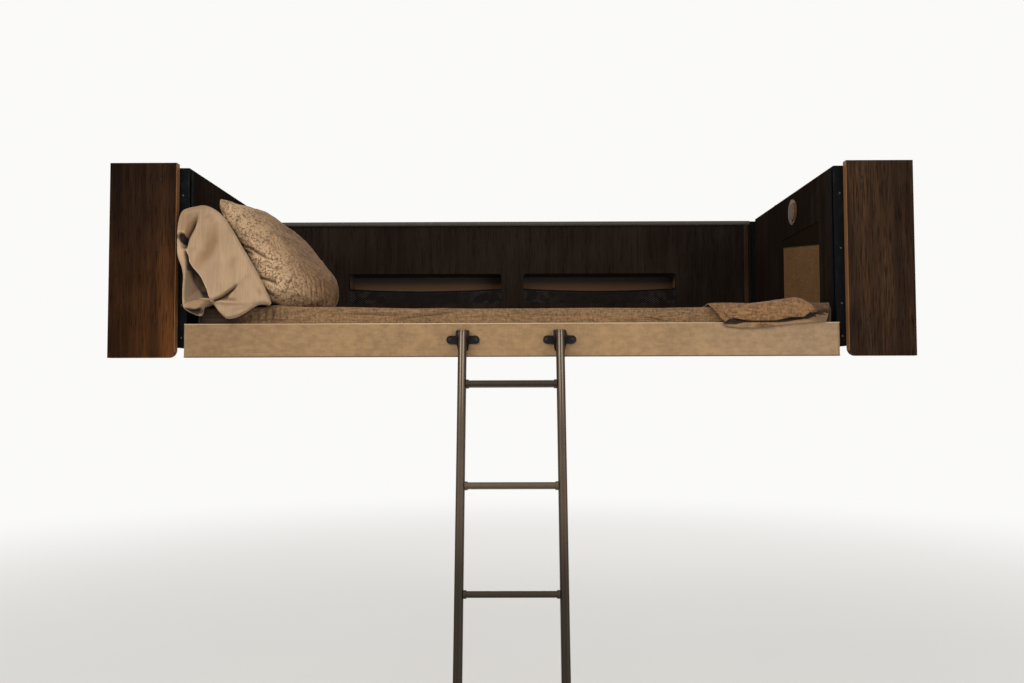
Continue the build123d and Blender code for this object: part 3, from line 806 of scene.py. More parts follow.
class BUNK_OT_stage(BunkStep):
    """Pale floor, soft lamps and the camera"""

    bl_idname = "bunk.stage"
    bl_label = "Stage and camera"

    def make(self, colours, sizes):
        scene = bpy.context.scene
        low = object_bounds()[0]
        backdrop = (0.96, 0.955, 0.94)
        floor = Recipe("pale_floor", Roughness=0.85)
        floor.feed(Base_Color=floor.mix(floor.noise(1.5), (0.80, 0.79, 0.77), (0.84, 0.83, 0.81)))
        far = ((floor.x * floor.x + floor.y * floor.y) ** 0.5).ramp(1.6, 8.0)
        glow = floor.add("ShaderNodeEmission", {}, {"Color": backdrop, "Strength": 1.0})
        share = floor.seen() * (far * 0.65 + 0.35)
        both_ways = floor.add("ShaderNodeMixShader", {}, {0: share, 1: floor.surface, 2: glow})
        floor.plug(floor.output.inputs[0], both_ways)
        reach = 14.0
        corners = [(x * reach, y * reach, low.z) for x, y in ((-1, -1), (1, -1), (1, 1), (-1, 1))]
        ground = linked("studio_floor", new_mesh("studio_floor", corners, [(0, 1, 2, 3)]))
        ground.data.materials.append(floor.material)
        ground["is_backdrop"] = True

        scene.world = bpy.data.worlds.new("studio")
        sky = Tree(scene.world)
        soft = sky.add("ShaderNodeBackground", {}, {"Color": (1.0, 0.97, 0.93), "Strength": 0.42})
        shown = sky.add("ShaderNodeBackground", {}, {"Color": backdrop})
        chosen = sky.add("ShaderNodeMixShader", {}, {0: sky.seen(), 1: soft, 2: shown})
        sky.add("ShaderNodeOutputWorld", {}, {0: chosen})

        target = Vector((0, -0.6, -0.6))
        for name, place, power, width in (
            ("key_lamp", (-1.6, -4.4, 1.9), 95, 2.6),
            ("fill_lamp", (2.6, -4.2, 0.2), 45, 2.4),
            ("back_lamp", (0.8, 4.4, 1.6), 60, 2.6),
        ):
            lamp = bpy.data.lights.new(name, "AREA")
            lamp.energy, lamp.size, lamp.color = power, width, (1.0, 0.96, 0.9)
            holder = linked(name, lamp)
            holder.location = place
            holder.rotation_euler = (target - Vector(place)).to_track_quat("-Z", "Y").to_euler()

        # The photograph's camera
        lens = bpy.data.cameras.new("view")
        lens.lens, lens.sensor_width, lens.clip_end = 32.34, 36.0, 100.0
        camera = linked("view", lens)
        turn, pitch, roll = (math.radians(angle) for angle in (0.2415, 92.6337, -0.1651))
        aim = Matrix.Rotation(turn, 4, "Z") @ Matrix.Rotation(pitch, 4, "X") @ Matrix.Rotation(roll, 4, "Z")
        camera.matrix_world = Matrix.Translation((0.01358, -3.8326, -0.6757)) @ aim
        scene.camera = camera
        scene.view_settings.view_transform = "Standard"


class BUNK_OT_boards(BunkStep):
    """Walnut side boards, front board, end walls and corner trims, with the boards' screw caps"""

    bl_idname = "bunk.boards"
    bl_label = "Walnut boards"

    def make(self, colours, sizes):
        self.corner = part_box("side_board_right")[0]
        self.streak, self.band = colours.walnut_dark, colours.edge_band
        # The front board and end walls take the walnut darkened as painted shade, the end walls a little darker still
        inner = colours.shaded_walnut
        dress(walnut("side_board_walnut", colours.walnut, self.streak, 0.02, self.lit_and_banded), *both("side_board"))
        dress(walnut("front_board_walnut", inner, shade(inner, 0.62)), "front_board")
        dress(walnut("end_wall_walnut", shade(inner, 0.95), shade(inner, 0.6)), *both("side_panel"))
        dress(walnut("corner_trim_walnut", srgb(78, 58, 44), srgb(54, 40, 31)), *both("corner_trim"))
        cap = moulded("screw_cap_brown", shade(self.streak, 0.4), 0.4, gloss=0.22)
        places = [(self.corner.x + inset, -drop) for inset, drop in ((0.048, 0.052), (0.054, 0.269), (0.056, 0.486))]
        screw_row("board_screw", places, self.corner.y, sizes.screw_head, cap, "surround")

    def lit_and_banded(self, wood, grain, figure, thread):
        """Painted warm light low on the left board, painted shade at the boards' outer edges, a paler, cooler painted
        tone and paler streaks on the right one, and the banded inner edges of both.
        """
        right = wood.x.ramp(-0.1, 0.1)
        inward = abs(wood.x).ramp(1.22, 1.03)
        low = wood.z.ramp(-0.16, -0.56) * (1 - right) * (inward * 0.6 + 0.4)
        pale = thread.ramp(0.50, 0.72) * figure * (right * 0.4 + 0.25)
        dark = wood.noise((135, 135, 7.8), detail=2.0).ramp(0.50, 0.38) * (right * 0.15 + 0.2)
        edge = abs(wood.x).ramp(self.corner.x + 0.0018, self.corner.x + 0.0008)
        grain = wood.mix(inward, wood.times(grain, (0.72, 0.72, 0.74)), wood.times(grain, (1.18, 1.17, 1.15)))
        for share, factors in ((low, (4.2, 3.5, 2.2)), (right, (1.28, 1.52, 1.72)), (pale, (2.3, 2.1, 1.9))):
            grain = wood.mix(share, grain, wood.times(grain, factors))
        band = wood.mix(thread.ramp(0.3, 0.7), shade(self.band, 0.78), self.band)
        return wood.over(grain, (dark, shade(self.streak, 0.6)), (edge, band))


class BUNK_OT_end_walls(BunkStep):
    """Linen insets and speakers of the end walls"""

    bl_idname = "bunk.end_walls"
    bl_label = "Insets and speakers"

    def make(self, colours, sizes):
        dress(linen("inset_linen", colours.linen, "YZ", 0.3, 0.8, 0.0003, 0.0, self.shadow), *both("inset_panel"))
        low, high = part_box("speaker_left")
        dress(perforated(colours.speaker, shade(colours.speaker, 0.12), (low + high) / 2, 0.03), *both("speaker"))

    def shadow(self, cloth, base):
        """Painted shadow over the head of an inset, above a line that falls toward the fascia."""
        head = (cloth.z + 0.1238 - cloth.y * 0.12).ramp(-0.004, 0.003)
        return cloth.mix(head * 0.96, base, srgb(25, 20, 17))


class BUNK_OT_rails(BunkStep):
    """Lift rails, wall brackets and guide blocks, with the rails' screws"""

    bl_idname = "bunk.rails"
    bl_label = "Rails and brackets"

    def make(self, colours, sizes):
        ends = ("aft", "front")
        rail = moulded("rail_anodised", tinted(colours.black, (0.8, 0.95, 1.2)), 0.8, 900.0, gloss=0.02)
        dress(rail, *both(*[f"lift_rail_{end}" for end in ends]))
        dress(galvanised(colours.zinc), *both(*[f"wall_bracket_{end}" for end in ends]))
        dress(moulded("nylon_white", (0.72, 0.71, 0.68), 0.4), *both(*[f"guide_block_{end}" for end in ends]))
        steel = moulded("rail_screw_steel", srgb(70, 68, 66), 0.4, 600.0, 0.6)
        low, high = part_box("lift_rail_aft_right")
        places = [((low.x + high.x) / 2 + 0.001, -drop) for drop in (0.095, 0.264, 0.433, 0.533)]
        screw_row("rail_screw", places, low.y, sizes.rail_screw, steel, "surround")


class BUNK_OT_pockets(BunkStep):
    """Lined pockets, their nets and elastics, and the ceiling trim"""

    bl_idname = "bunk.pockets"
    bl_label = "Pockets and nets"

    def make(self, colours, sizes):
        low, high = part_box("pocket_net_right")
        centre, reach = (low.x + high.x) / 2, (high.x - low.x) / 2
        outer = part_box("pocket_tray_right")[1]
        half_wall = (outer.x - high.x) / 2
        shell = (reach + half_wall, outer.y - half_wall, outer.z - half_wall)
        # The felt's painted light runs from just under the net's edge up to a level line 40 mm higher
        line = high.z - 0.004
        dress(felt(colours.liner, line, line + 0.04, centre, reach, shell), *both("pocket_tray"))
        dress(moulded("ceiling_trim_grey", srgb(78, 74, 70), 0.5, 700.0, gloss=0.2), "ceiling_trim")
        mesh = netting(colours.net, sizes.net_cell, centre, reach)
        band = moulded("elastic_black", shade(colours.net, 0.6), 0.85, 500.0, 0.0, 0.0004, gloss=0.1)
        for label, _ in SIDES:
            low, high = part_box(f"pocket_net_{label}")
            rings = self.net(low, high, sizes.net_bulge)
            net = make_piece(f"net_{label}", *lofted(rings, around=False), mesh, "surround")
            strap = self.strap([ring[-1] for ring in rings], sizes.elastic)
            elastic = make_piece(f"net_elastic_{label}", *strap, band, "surround")
            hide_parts(f"pocket_net_{label}")

    def net(self, low, high, fullness):
        """A net's columns of points: its lower corners are round, it stands out, and its upper edge sags."""
        corner, columns, rows = 0.012, 160, 16
        rings = []
        for column in range(columns + 1):
            x = low.x + (high.x - low.x) * column / columns
            share = 2 * column / columns - 1
            out = max(0.0, corner - min(x - low.x, high.x - x))
            bottom = low.z + corner - math.sqrt(corner**2 - out**2)
            top = high.z - NET_SAG * (1 - share**2)
            ring = []
            for row in range(rows + 1):
                up = row / rows
                bulge = fullness * (1 - share**4) * (0.35 + 0.65 * up) * (0.8 + 0.2 * math.sin(9 * share))
                ring.append((x, high.y - 0.001 - bulge, bottom + (top - bottom) * up))
            rings.append(ring)
        return rings

    def strap(self, edge, width):
        """A flat rounded band along the net's upper edge, hemmed over its top."""
        half_thick, rib, rib_turn = 0.0011, 0.0002, 1800
        rings = []
        for x, y, z in edge:
            ring = []
            for turn in np.linspace(0, 2 * math.pi, 16, endpoint=False):
                across, up = half_thick * math.cos(turn), width / 2 * math.sin(turn)
                ribbed = rib * math.sin(x * rib_turn)
                ring.append((x, y + across + ribbed, z - width / 2 + 0.001 + up))
            rings.append(ring)
        return lofted(rings, caps=(True, True))


class BUNK_OT_platform(BunkStep):
    """Tube frame, deck and underside"""

    bl_idname = "bunk.platform"
    bl_label = "Platform"

    def make(self, colours, sizes):
        tubes = ["frame_rail_aft", "frame_rail_front"] + [f"cross_member_{n + 1}" for n in range(3)]
        dress(moulded("powder_coat_black", colours.steel_black, 0.42, 1100.0), *tubes)
        dress(plywood(colours.plywood), "deck")
        dress(linen("underside_vinyl", colours.underside, "XY", 0.08), "underside_panel")


class BUNK_OT_fascia(BunkStep):
    """Linen-laminate fascia with its edge trims"""

    bl_idname = "bunk.fascia"
    bl_label = "Fascia"

    def make(self, colours, sizes):
        dress(laminate(colours.laminate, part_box("fascia")[1].x), "fascia")
        # The cream trim is painted bright as a highlight along the fascia's top edge
        dress(top_edge(srgb(214, 190, 154)), "fascia_top_trim")
        dress(moulded("fascia_lower_edge", srgb(98, 80, 66), 0.5, 600.0, gloss=0.2), "fascia_bottom_trim")


class BUNK_OT_mattress(BunkStep):
    """Piped mattress under the blanket"""

    bl_idname = "bunk.mattress"
    bl_label = "Mattress"

    def make(self, colours, sizes):
        low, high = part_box("mattress")
        half, centre = (high - low) / 2, (high + low) / 2
        inset = sizes.mattress_crown + 0.001
        squareness, dimples, dimple_depth = 0.09, 9, 0.0012

        def ring(shrink, z, count=360):
            across, deep = half.x - inset - shrink, half.y - inset - shrink
            line = []
            for number in range(count):
                turn = 2 * math.pi * number / count
                u, v = (math.copysign(abs(way) ** squareness, way) for way in (math.cos(turn), math.sin(turn)))
                pull = 0.5 * (1 + math.cos(2 * math.pi * dimples * number / count)) * dimple_depth
                line.append((centre.x + (across - pull) * u, centre.y + (deep - pull) * v, z))
            return line

        rings = [ring(share * half.y * 0.9, low.z + 0.0006 * (1 - share)) for share in np.linspace(0.97, 0.02, 14)]
        for number in range(13):
            up = number / 12
            swell = math.sin(math.pi * up) * sizes.mattress_crown
            tuck = 0.004 * (abs(2 * up - 1) ** 6)
            rings.append(ring(tuck - swell, low.z + 0.001 + (half.z * 2 - 0.004) * up))
        for share in np.linspace(0.02, 0.97, 14):
            rise = 0.0025 * math.sin(math.pi * 0.5 * min(1, share * 3))
            rings.append(ring(share * half.y * 0.9, high.z - 0.003 + rise))
        solid = lofted(rings, caps=(True, True))
        pad = make_piece("mattress_pad", *solid, ticking(colours.mattress), "platform")
        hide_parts("mattress")
        cord = moulded("mattress_piping", shade(colours.mattress, 0.6), 0.8, 900.0)
        for name, z in (("upper", high.z - 0.005), ("lower", low.z + 0.004)):
            edge = piping(f"mattress_piping_{name}", ring(-0.001, z, 720), sizes.piping, cord, "platform")


# The blanket's crest along the bunk, as X and Z, and the folds and ridges of its skirt, as (X, Z) lines
BLANKET_TOP = (
    (-0.941, -0.83, -0.72, -0.60, -0.50, -0.40, -0.295, -0.21, -0.125, 0.036, 0.25, 0.45, 0.57, 0.75, 0.97),
    (-0.441, -0.4405, -0.4390, -0.4395, -0.4408, -0.4430, -0.4452, -0.4438, -0.4458, -0.4462, -0.4450, -0.4455, -0.4440,
     -0.442, -0.443),
)
BLANKET_FOLDS = (
    (((-0.731, -0.442), (-0.722, -0.458), (-0.727, -0.474), (-0.718, -0.490)), 0.0035, 0.006),
    (((-0.752, -0.446), (-0.744, -0.462), (-0.750, -0.476), (-0.742, -0.490)), 0.0032, 0.005),
    (((-0.775, -0.450), (-0.768, -0.468), (-0.772, -0.490)), 0.0032, 0.004),
    (((-0.800, -0.460), (-0.792, -0.474), (-0.798, -0.490)), 0.003, 0.004),
    (((-0.905, -0.448), (-0.875, -0.468), (-0.850, -0.486)), 0.005, 0.005),
    (((-0.700, -0.452), (-0.704, -0.466), (-0.697, -0.480)), 0.003, 0.003),
    (((-0.682, -0.448), (-0.688, -0.464), (-0.680, -0.484)), 0.003, 0.0022),
    (((-0.520, -0.466), (-0.440, -0.464), (-0.360, -0.466), (-0.297, -0.462)), 0.0028, 0.0028),
    (((-0.360, -0.480), (-0.270, -0.468), (-0.190, -0.458), (-0.140, -0.452)), 0.0030, 0.0032),
    (((-0.330, -0.470), (-0.250, -0.458), (-0.180, -0.449)), 0.0025, 0.0022),
    (((0.02, -0.462), (0.14, -0.468), (0.28, -0.464)), 0.003, 0.0018),
    (((0.325, -0.478), (0.352, -0.484), (0.378, -0.488)), 0.003, 0.003),
    (((0.40, -0.472), (0.44, -0.480), (0.47, -0.486)), 0.003, 0.0028),
)
BLANKET_RIDGES = (
    (((-0.705, -0.448), (-0.700, -0.466), (-0.706, -0.486)), 0.010, 0.0035),
    (((-0.660, -0.452), (-0.640, -0.468), (-0.650, -0.484)), 0.018, 0.003),
    (((-0.350, -0.472), (-0.260, -0.461), (-0.170, -0.452)), 0.005, 0.002),
)


class BUNK_OT_blanket(BunkStep):
    """Blanket over the mattress, tucked down behind the fascia"""

    bl_idname = "bunk.blanket"
    bl_label = "Blanket"

    def make(self, colours, sizes):
        low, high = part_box("blanket")
        round_size, finer_to = 0.012, -0.45
        aft, hem = low.y + 0.006, low.z + 0.001
        level = high.z - 0.0025
        fine = np.linspace(low.x, finer_to, 190, endpoint=False)
        columns = np.concatenate([fine, np.linspace(finer_to, high.x, 270)])
        profile = [(aft, z) for z in np.linspace(hem, level - round_size, 17)]
        for turn in np.linspace(0, math.pi / 2, 7)[1:]:
            profile.append((aft + round_size * (1 - math.cos(turn)), level - round_size * (1 - math.sin(turn))))
        profile += [(y, level) for y in np.linspace(aft + round_size, high.y - 0.001, 44)[1:]]
        y, z = np.array(profile).T
        points = np.stack([np.repeat(columns, len(y)), np.tile(y, len(columns)), np.tile(z, len(columns))], axis=1)
        flat = points[:, [0, 2]]
        skirt = np.clip((aft + round_size - points[:, 1]) / round_size, 0, 1)
        crest = np.interp(points[:, 0], *BLANKET_TOP) - level
        rise = (points[:, 2] - hem) / (level - hem)
        lift = ruffles(points, (2.1, 3.4, 6)) * 0.6 + ruffles(points, (5.5, 4, 9), 7.0) * 0.4
        drape = ruffles(points * (1, 0.2, 1), (16, 1, 40), 3.0)
        out = 0.0022 * drape + 0.001 * lift
        for corners, width, depth in BLANKET_FOLDS:
            out -= depth * groove(flat, corners, width, 0.15, 0.15)
        for corners, width, height in BLANKET_RIDGES:
            out += height * groove(flat, corners, width, 0.1, 0.1)
        front = np.clip((-1.015 - points[:, 1]) / 0.02, 0, 1)
        pushed = np.interp(points[:, 0], (-0.76, -0.735, -0.70, -0.63), (0, 1, 1, 0))
        points[:, 2] += 0.0055 * pushed * front * rise**2
        gather = np.clip(1 - np.abs(points[:, 0] + 0.81) / 0.15, 0, 1)
        out += 0.0016 * gather * np.sin(points[:, 0] * 310 + 9 * np.sin(points[:, 2] * 60 + points[:, 0] * 25))
        points[:, 1] -= np.clip(out, -0.0035, 0.0045) * skirt
        loose = sizes.blanket_wave * (lift - 0.5) * (1 - skirt) - 0.0006
        points[:, 2] += crest * rise + loose * rise
        points, faces = lofted(points.reshape(len(columns), len(y), 3), around=False)
        self.fold = colours.fold
        wool = woollen("blanket_wool", colours.blanket, sizes.blanket_thread, 0.46, self.shadow)
        cloth = make_piece("blanket_cloth", points, faces, wool, "platform")
        thicken(cloth, 0.002)
        # Painted shade in the bottoms of the blanket's folds, on its skirt
        spots = positions(cloth.data)
        share = 0.0
        for corners, width, depth in BLANKET_FOLDS:
            share += min(1.0, depth / 0.006) * groove(spots[:, [0, 2]], corners, width, 0.3, 0.3)
        paint(cloth, fold=share * 0.8 * (spots[:, 1] < aft + round_size))
        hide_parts("blanket")
        flat = (high.x - low.x, high.y - low.y + level - hem)

    def shadow(self, cloth, base):
        """Painted shadow at the blanket's left end under the pillows and at its right end, and faint level lines along
        its skirt.
        """
        shaded_end, dark, lined = srgb(74, 58, 42), srgb(34, 29, 27), srgb(88, 66, 45)
        base = cloth.over(
            base,
            (cloth.x.ramp(-0.62, -0.82) * 0.42, shaded_end),
            (cloth.x.ramp(-0.78, -0.87) * 0.85, dark),
            (cloth.x.ramp(0.942, 0.954) * 0.85, dark),
            (cloth.noise((2.2, 20, 190), distortion=0.4).ramp(0.56, 0.66) * 0.5, lined),
        )
        return cloth.painted(base, fold=self.fold)


def thicken(piece, thickness):
    """Gives a sheet its cloth's thickness, inwards."""
    bpy.context.view_layer.objects.active = piece
    solid = piece.modifiers.new("thickness", "SOLIDIFY")
    solid.thickness, solid.offset, solid.use_rim = thickness, -1.0, True
    with bpy.context.temp_override(object=piece, active_object=piece, selected_objects=[piece]):
        bpy.ops.object.modifier_apply(modifier="thickness")


# The plain pillow's end outline, the mouth of its case and a small gap, as (X, Z), clockwise from the left tip
PLAIN_OUTLINE = (
    (-1.015, -0.228), (-1.008, -0.206), (-0.998, -0.181), (-0.989, -0.158), (-0.974, -0.145),
    (-0.956, -0.137), (-0.934, -0.133), (-0.914, -0.137), (-0.891, -0.149), (-0.871, -0.167),
    (-0.856, -0.186), (-0.831, -0.226), (-0.810, -0.262), (-0.788, -0.298), (-0.767, -0.337),
    (-0.748, -0.373), (-0.734, -0.403), (-0.7235, -0.4325), (-0.741, -0.4325), (-0.759, -0.434),
    (-0.779, -0.445), (-0.803, -0.461), (-0.824, -0.472), (-0.848, -0.477), (-0.861, -0.474),
    (-0.878, -0.458), (-0.893, -0.439), (-0.904, -0.429), (-0.920, -0.4375), (-0.930, -0.447),
    (-0.9325, -0.461), (-0.940, -0.4685), (-0.957, -0.463), (-0.972, -0.454), (-0.981, -0.442),
    (-0.983, -0.418), (-0.983, -0.381), (-0.982, -0.351), (-0.986, -0.326), (-0.996, -0.301),
    (-1.008, -0.278), (-1.014, -0.256),
)
CASE_FLAP = (
    (-0.978, -0.270), (-0.973, -0.277), (-0.967, -0.291), (-0.964, -0.306), (-0.955, -0.324),
    (-0.941, -0.339), (-0.929, -0.354), (-0.919, -0.374), (-0.911, -0.391), (-0.903, -0.411), (-0.897, -0.419),
)
CASE_SILL = (
    (-0.897, -0.419), (-0.906, -0.4185), (-0.918, -0.4175), (-0.933, -0.418), (-0.951, -0.420),
    (-0.965, -0.425), (-0.975, -0.431), (-0.979, -0.417), (-0.9785, -0.381), (-0.977, -0.351),
    (-0.976, -0.331), (-0.977, -0.306), (-0.980, -0.281), (-0.978, -0.270),
)
CASE_GAP = (
    (-1.0005, -0.233), (-0.998, -0.223), (-0.989, -0.2185), (-0.979, -0.223), (-0.9735, -0.238),
    (-0.9755, -0.258), (-0.984, -0.257), (-0.994, -0.247),
)

# Three folds of the case that both its relief and its shades follow
FLAP_LINE = (
    (-0.944, -0.166), (-0.950, -0.186), (-0.957, -0.202), (-0.967, -0.223), (-0.974, -0.240), (-0.9795, -0.263),
)
CREASE = ((-0.889, -0.4245), (-0.868, -0.4150), (-0.852, -0.4040), (-0.835, -0.3905), (-0.820, -0.3770))
LONG_VALLEY = ((-0.893, -0.205), (-0.896, -0.246), (-0.910, -0.279), (-0.930, -0.304), (-0.944, -0.322))

# Folds and steps of the case's near end: a line as (X, Z), its width, its depth, and what is left at its two ends
CASE_FOLDS = (
    (FLAP_LINE, 0.0068, 0.021, 0.25, 1.0),
    (((-0.989, -0.163), (-0.990, -0.188), (-0.992, -0.213)), 0.007, 0.004, 0.3, 0.6),
    (LONG_VALLEY, 0.016, 0.012, 0.4, 0.4),
    (((-0.916, -0.165), (-0.905, -0.200)), 0.014, 0.005, 0.2, 0.2),
    (((-0.822, -0.290), (-0.835, -0.312), (-0.850, -0.332)), 0.014, 0.004, 0.3, 0.3),
    (((-0.880, -0.255), (-0.879, -0.381)), 0.003, 0.0018, 0.3, 0.3),
    (CREASE, 0.0042, 0.019, 1.0, 0.2),
    (((-0.854, -0.407), (-0.850, -0.424), (-0.818, -0.423)), 0.005, 0.006, 0.6, 0.1),
    (((-0.838, -0.458), (-0.803, -0.450), (-0.769, -0.440)), 0.006, 0.005, 0.3, 0.3),
    (((-0.971, -0.4490), (-0.952, -0.4545), (-0.934, -0.4530)), 0.0045, 0.015, 0.6, 0.8),
    (((-0.800, -0.330), (-0.776, -0.372), (-0.762, -0.405)), 0.010, 0.003, 0.2, 0.2),
    (((-0.974, -0.163), (-0.976, -0.201), (-0.982, -0.238)), 0.008, -0.006, 0.5, 0.8),
    (((-0.937, -0.175), (-0.944, -0.220), (-0.955, -0.262)), 0.010, -0.006, 0.3, 0.8),
    (((-0.903, -0.426), (-0.878, -0.4295), (-0.853, -0.431), (-0.823, -0.431), (-0.790, -0.430)),
     0.0055, -0.008, 1.0, 0.2),
    (((-0.819, -0.374), (-0.804, -0.356), (-0.780, -0.334)), 0.012, -0.005, 1.0, 0.2),
    (((-0.888, -0.436), (-0.868, -0.455), (-0.853, -0.467)), 0.006, -0.004, 0.8, 0.4),
)
CASE_LEDGES = (
    (((-0.890, -0.425), (-0.873, -0.417), (-0.854, -0.404), (-0.834, -0.389), (-0.819, -0.376)),
     0.030, -0.013, 1.0, 0.1),
    (((-0.766, -0.431), (-0.794, -0.430), (-0.823, -0.431), (-0.853, -0.431), (-0.903, -0.426)),
     0.020, 0.010, 0.2, 0.6),
)

# The case's painted shades and highlights, by the name of their colour: lines with their width and what is left
# at their ends, and closed lines with their softness, each with its share
CASE_LINES = (
    ("fold", FLAP_LINE, 0.0042, 0.35, 1.0, 0.95),
    ("fold", CREASE, 0.0030, 1.0, 0.5, 1.0),
    ("fold", ((-0.976, -0.4320), (-0.963, -0.4235), (-0.948, -0.4195), (-0.925, -0.4185)), 0.0026, 0.7, 0.4, 0.8),
    ("fold", ((-0.897, -0.4190), (-0.904, -0.4280)), 0.0035, 0.9, 0.9, 0.7),
    ("stain_and_shade", LONG_VALLEY, 0.016, 0.5, 0.4, 0.8),
    ("stain_and_shade", ((-0.822, -0.290), (-0.835, -0.312), (-0.850, -0.332)), 0.012, 0.3, 0.3, 0.35),
    ("stain_and_shade", ((-0.983, -0.156), (-0.956, -0.143), (-0.934, -0.140), (-0.912, -0.145)), 0.009, 0.7, 0.3, 0.65),
    ("stain_and_shade", ((-0.756, -0.392), (-0.751, -0.404)), 0.007, 0.6, 0.6, 0.6),
    ("pale", ((-0.904, -0.4245), (-0.875, -0.4270), (-0.844, -0.4290), (-0.817, -0.4315), (-0.775, -0.4295)),
     0.0024, 0.8, 0.3, 0.6),
    ("pale", ((-0.980, -0.4445), (-0.972, -0.4560), (-0.955, -0.4650), (-0.938, -0.4680), (-0.9285, -0.4600)),
     0.0028, 0.8, 0.8, 0.7),
    ("pale", ((-1.000, -0.2210), (-0.989, -0.2155), (-0.978, -0.2200)), 0.0025, 0.8, 0.8, 0.8),
    ("pale", ((-1.000, -0.245), (-0.996, -0.270), (-0.986, -0.300)), 0.009, 0.8, 0.6, 0.45),
    ("pale", CASE_FLAP, 0.0030, 0.5, 0.8, 0.5),
)
CASE_PATCHES = (
    ("fold", ((-0.880, -0.4235), (-0.856, -0.4085), (-0.838, -0.3945), (-0.826, -0.3840), (-0.838, -0.4020),
              (-0.850, -0.4180), (-0.858, -0.4230)), 0.006, 0.85),
    ("hollow", ((-0.979, -0.4445), (-0.962, -0.4480), (-0.947, -0.4490), (-0.9305, -0.4435), (-0.9315, -0.4600),
                (-0.940, -0.4668), (-0.957, -0.4615), (-0.972, -0.4525)), 0.003, 0.95),
    ("stain_and_shade", ((-0.985, -0.160), (-0.955, -0.158), (-0.949, -0.185), (-0.966, -0.222), (-0.979, -0.260),
               (-0.990, -0.262), (-0.993, -0.215)), 0.022, 0.55),
    ("stain_and_shade", ((-0.868, -0.4255), (-0.852, -0.4140), (-0.835, -0.4170), (-0.812, -0.4270), (-0.830, -0.4295)),
     0.008, 0.55),
    ("stain_and_shade", ((-0.978, -0.4380), (-0.963, -0.4250), (-0.930, -0.4200), (-0.908, -0.4200), (-0.908, -0.4310),
               (-0.930, -0.4440), (-0.965, -0.4470)), 0.008, 0.5),
)

# The parts of the case's inside that light reaches through its mouth
INNER_WALL = (
    (-0.980, -0.325), (-0.969, -0.335), (-0.962, -0.362), (-0.948, -0.388), (-0.934, -0.406), (-0.925, -0.416),
    (-0.948, -0.421), (-0.966, -0.427), (-0.982, -0.435),
)
INNER_BACK = (
    (-0.956, -0.333), (-0.940, -0.350), (-0.926, -0.372), (-0.919, -0.387), (-0.926, -0.393), (-0.938, -0.392),
    (-0.950, -0.381), (-0.959, -0.361),
)

# How far back the shades of the case's near side reach, and those inside its mouth, as Y
NEAR_SHADES_END, MOUTH_SHADES_END = -1.0615, -0.99

# The sleeve behind the case's near side, as Y and how far it is drawn in
SLEEVE = (
    (-1.066, 0), (-1.060, 0), (-1.054, 0), (-1.051, 0), (-1.035, 0),
    (-1.015, 0.001), (-0.99, 0.002), (-0.965, 0.004), (-0.94, 0.008), (-0.92, 0.016),
)


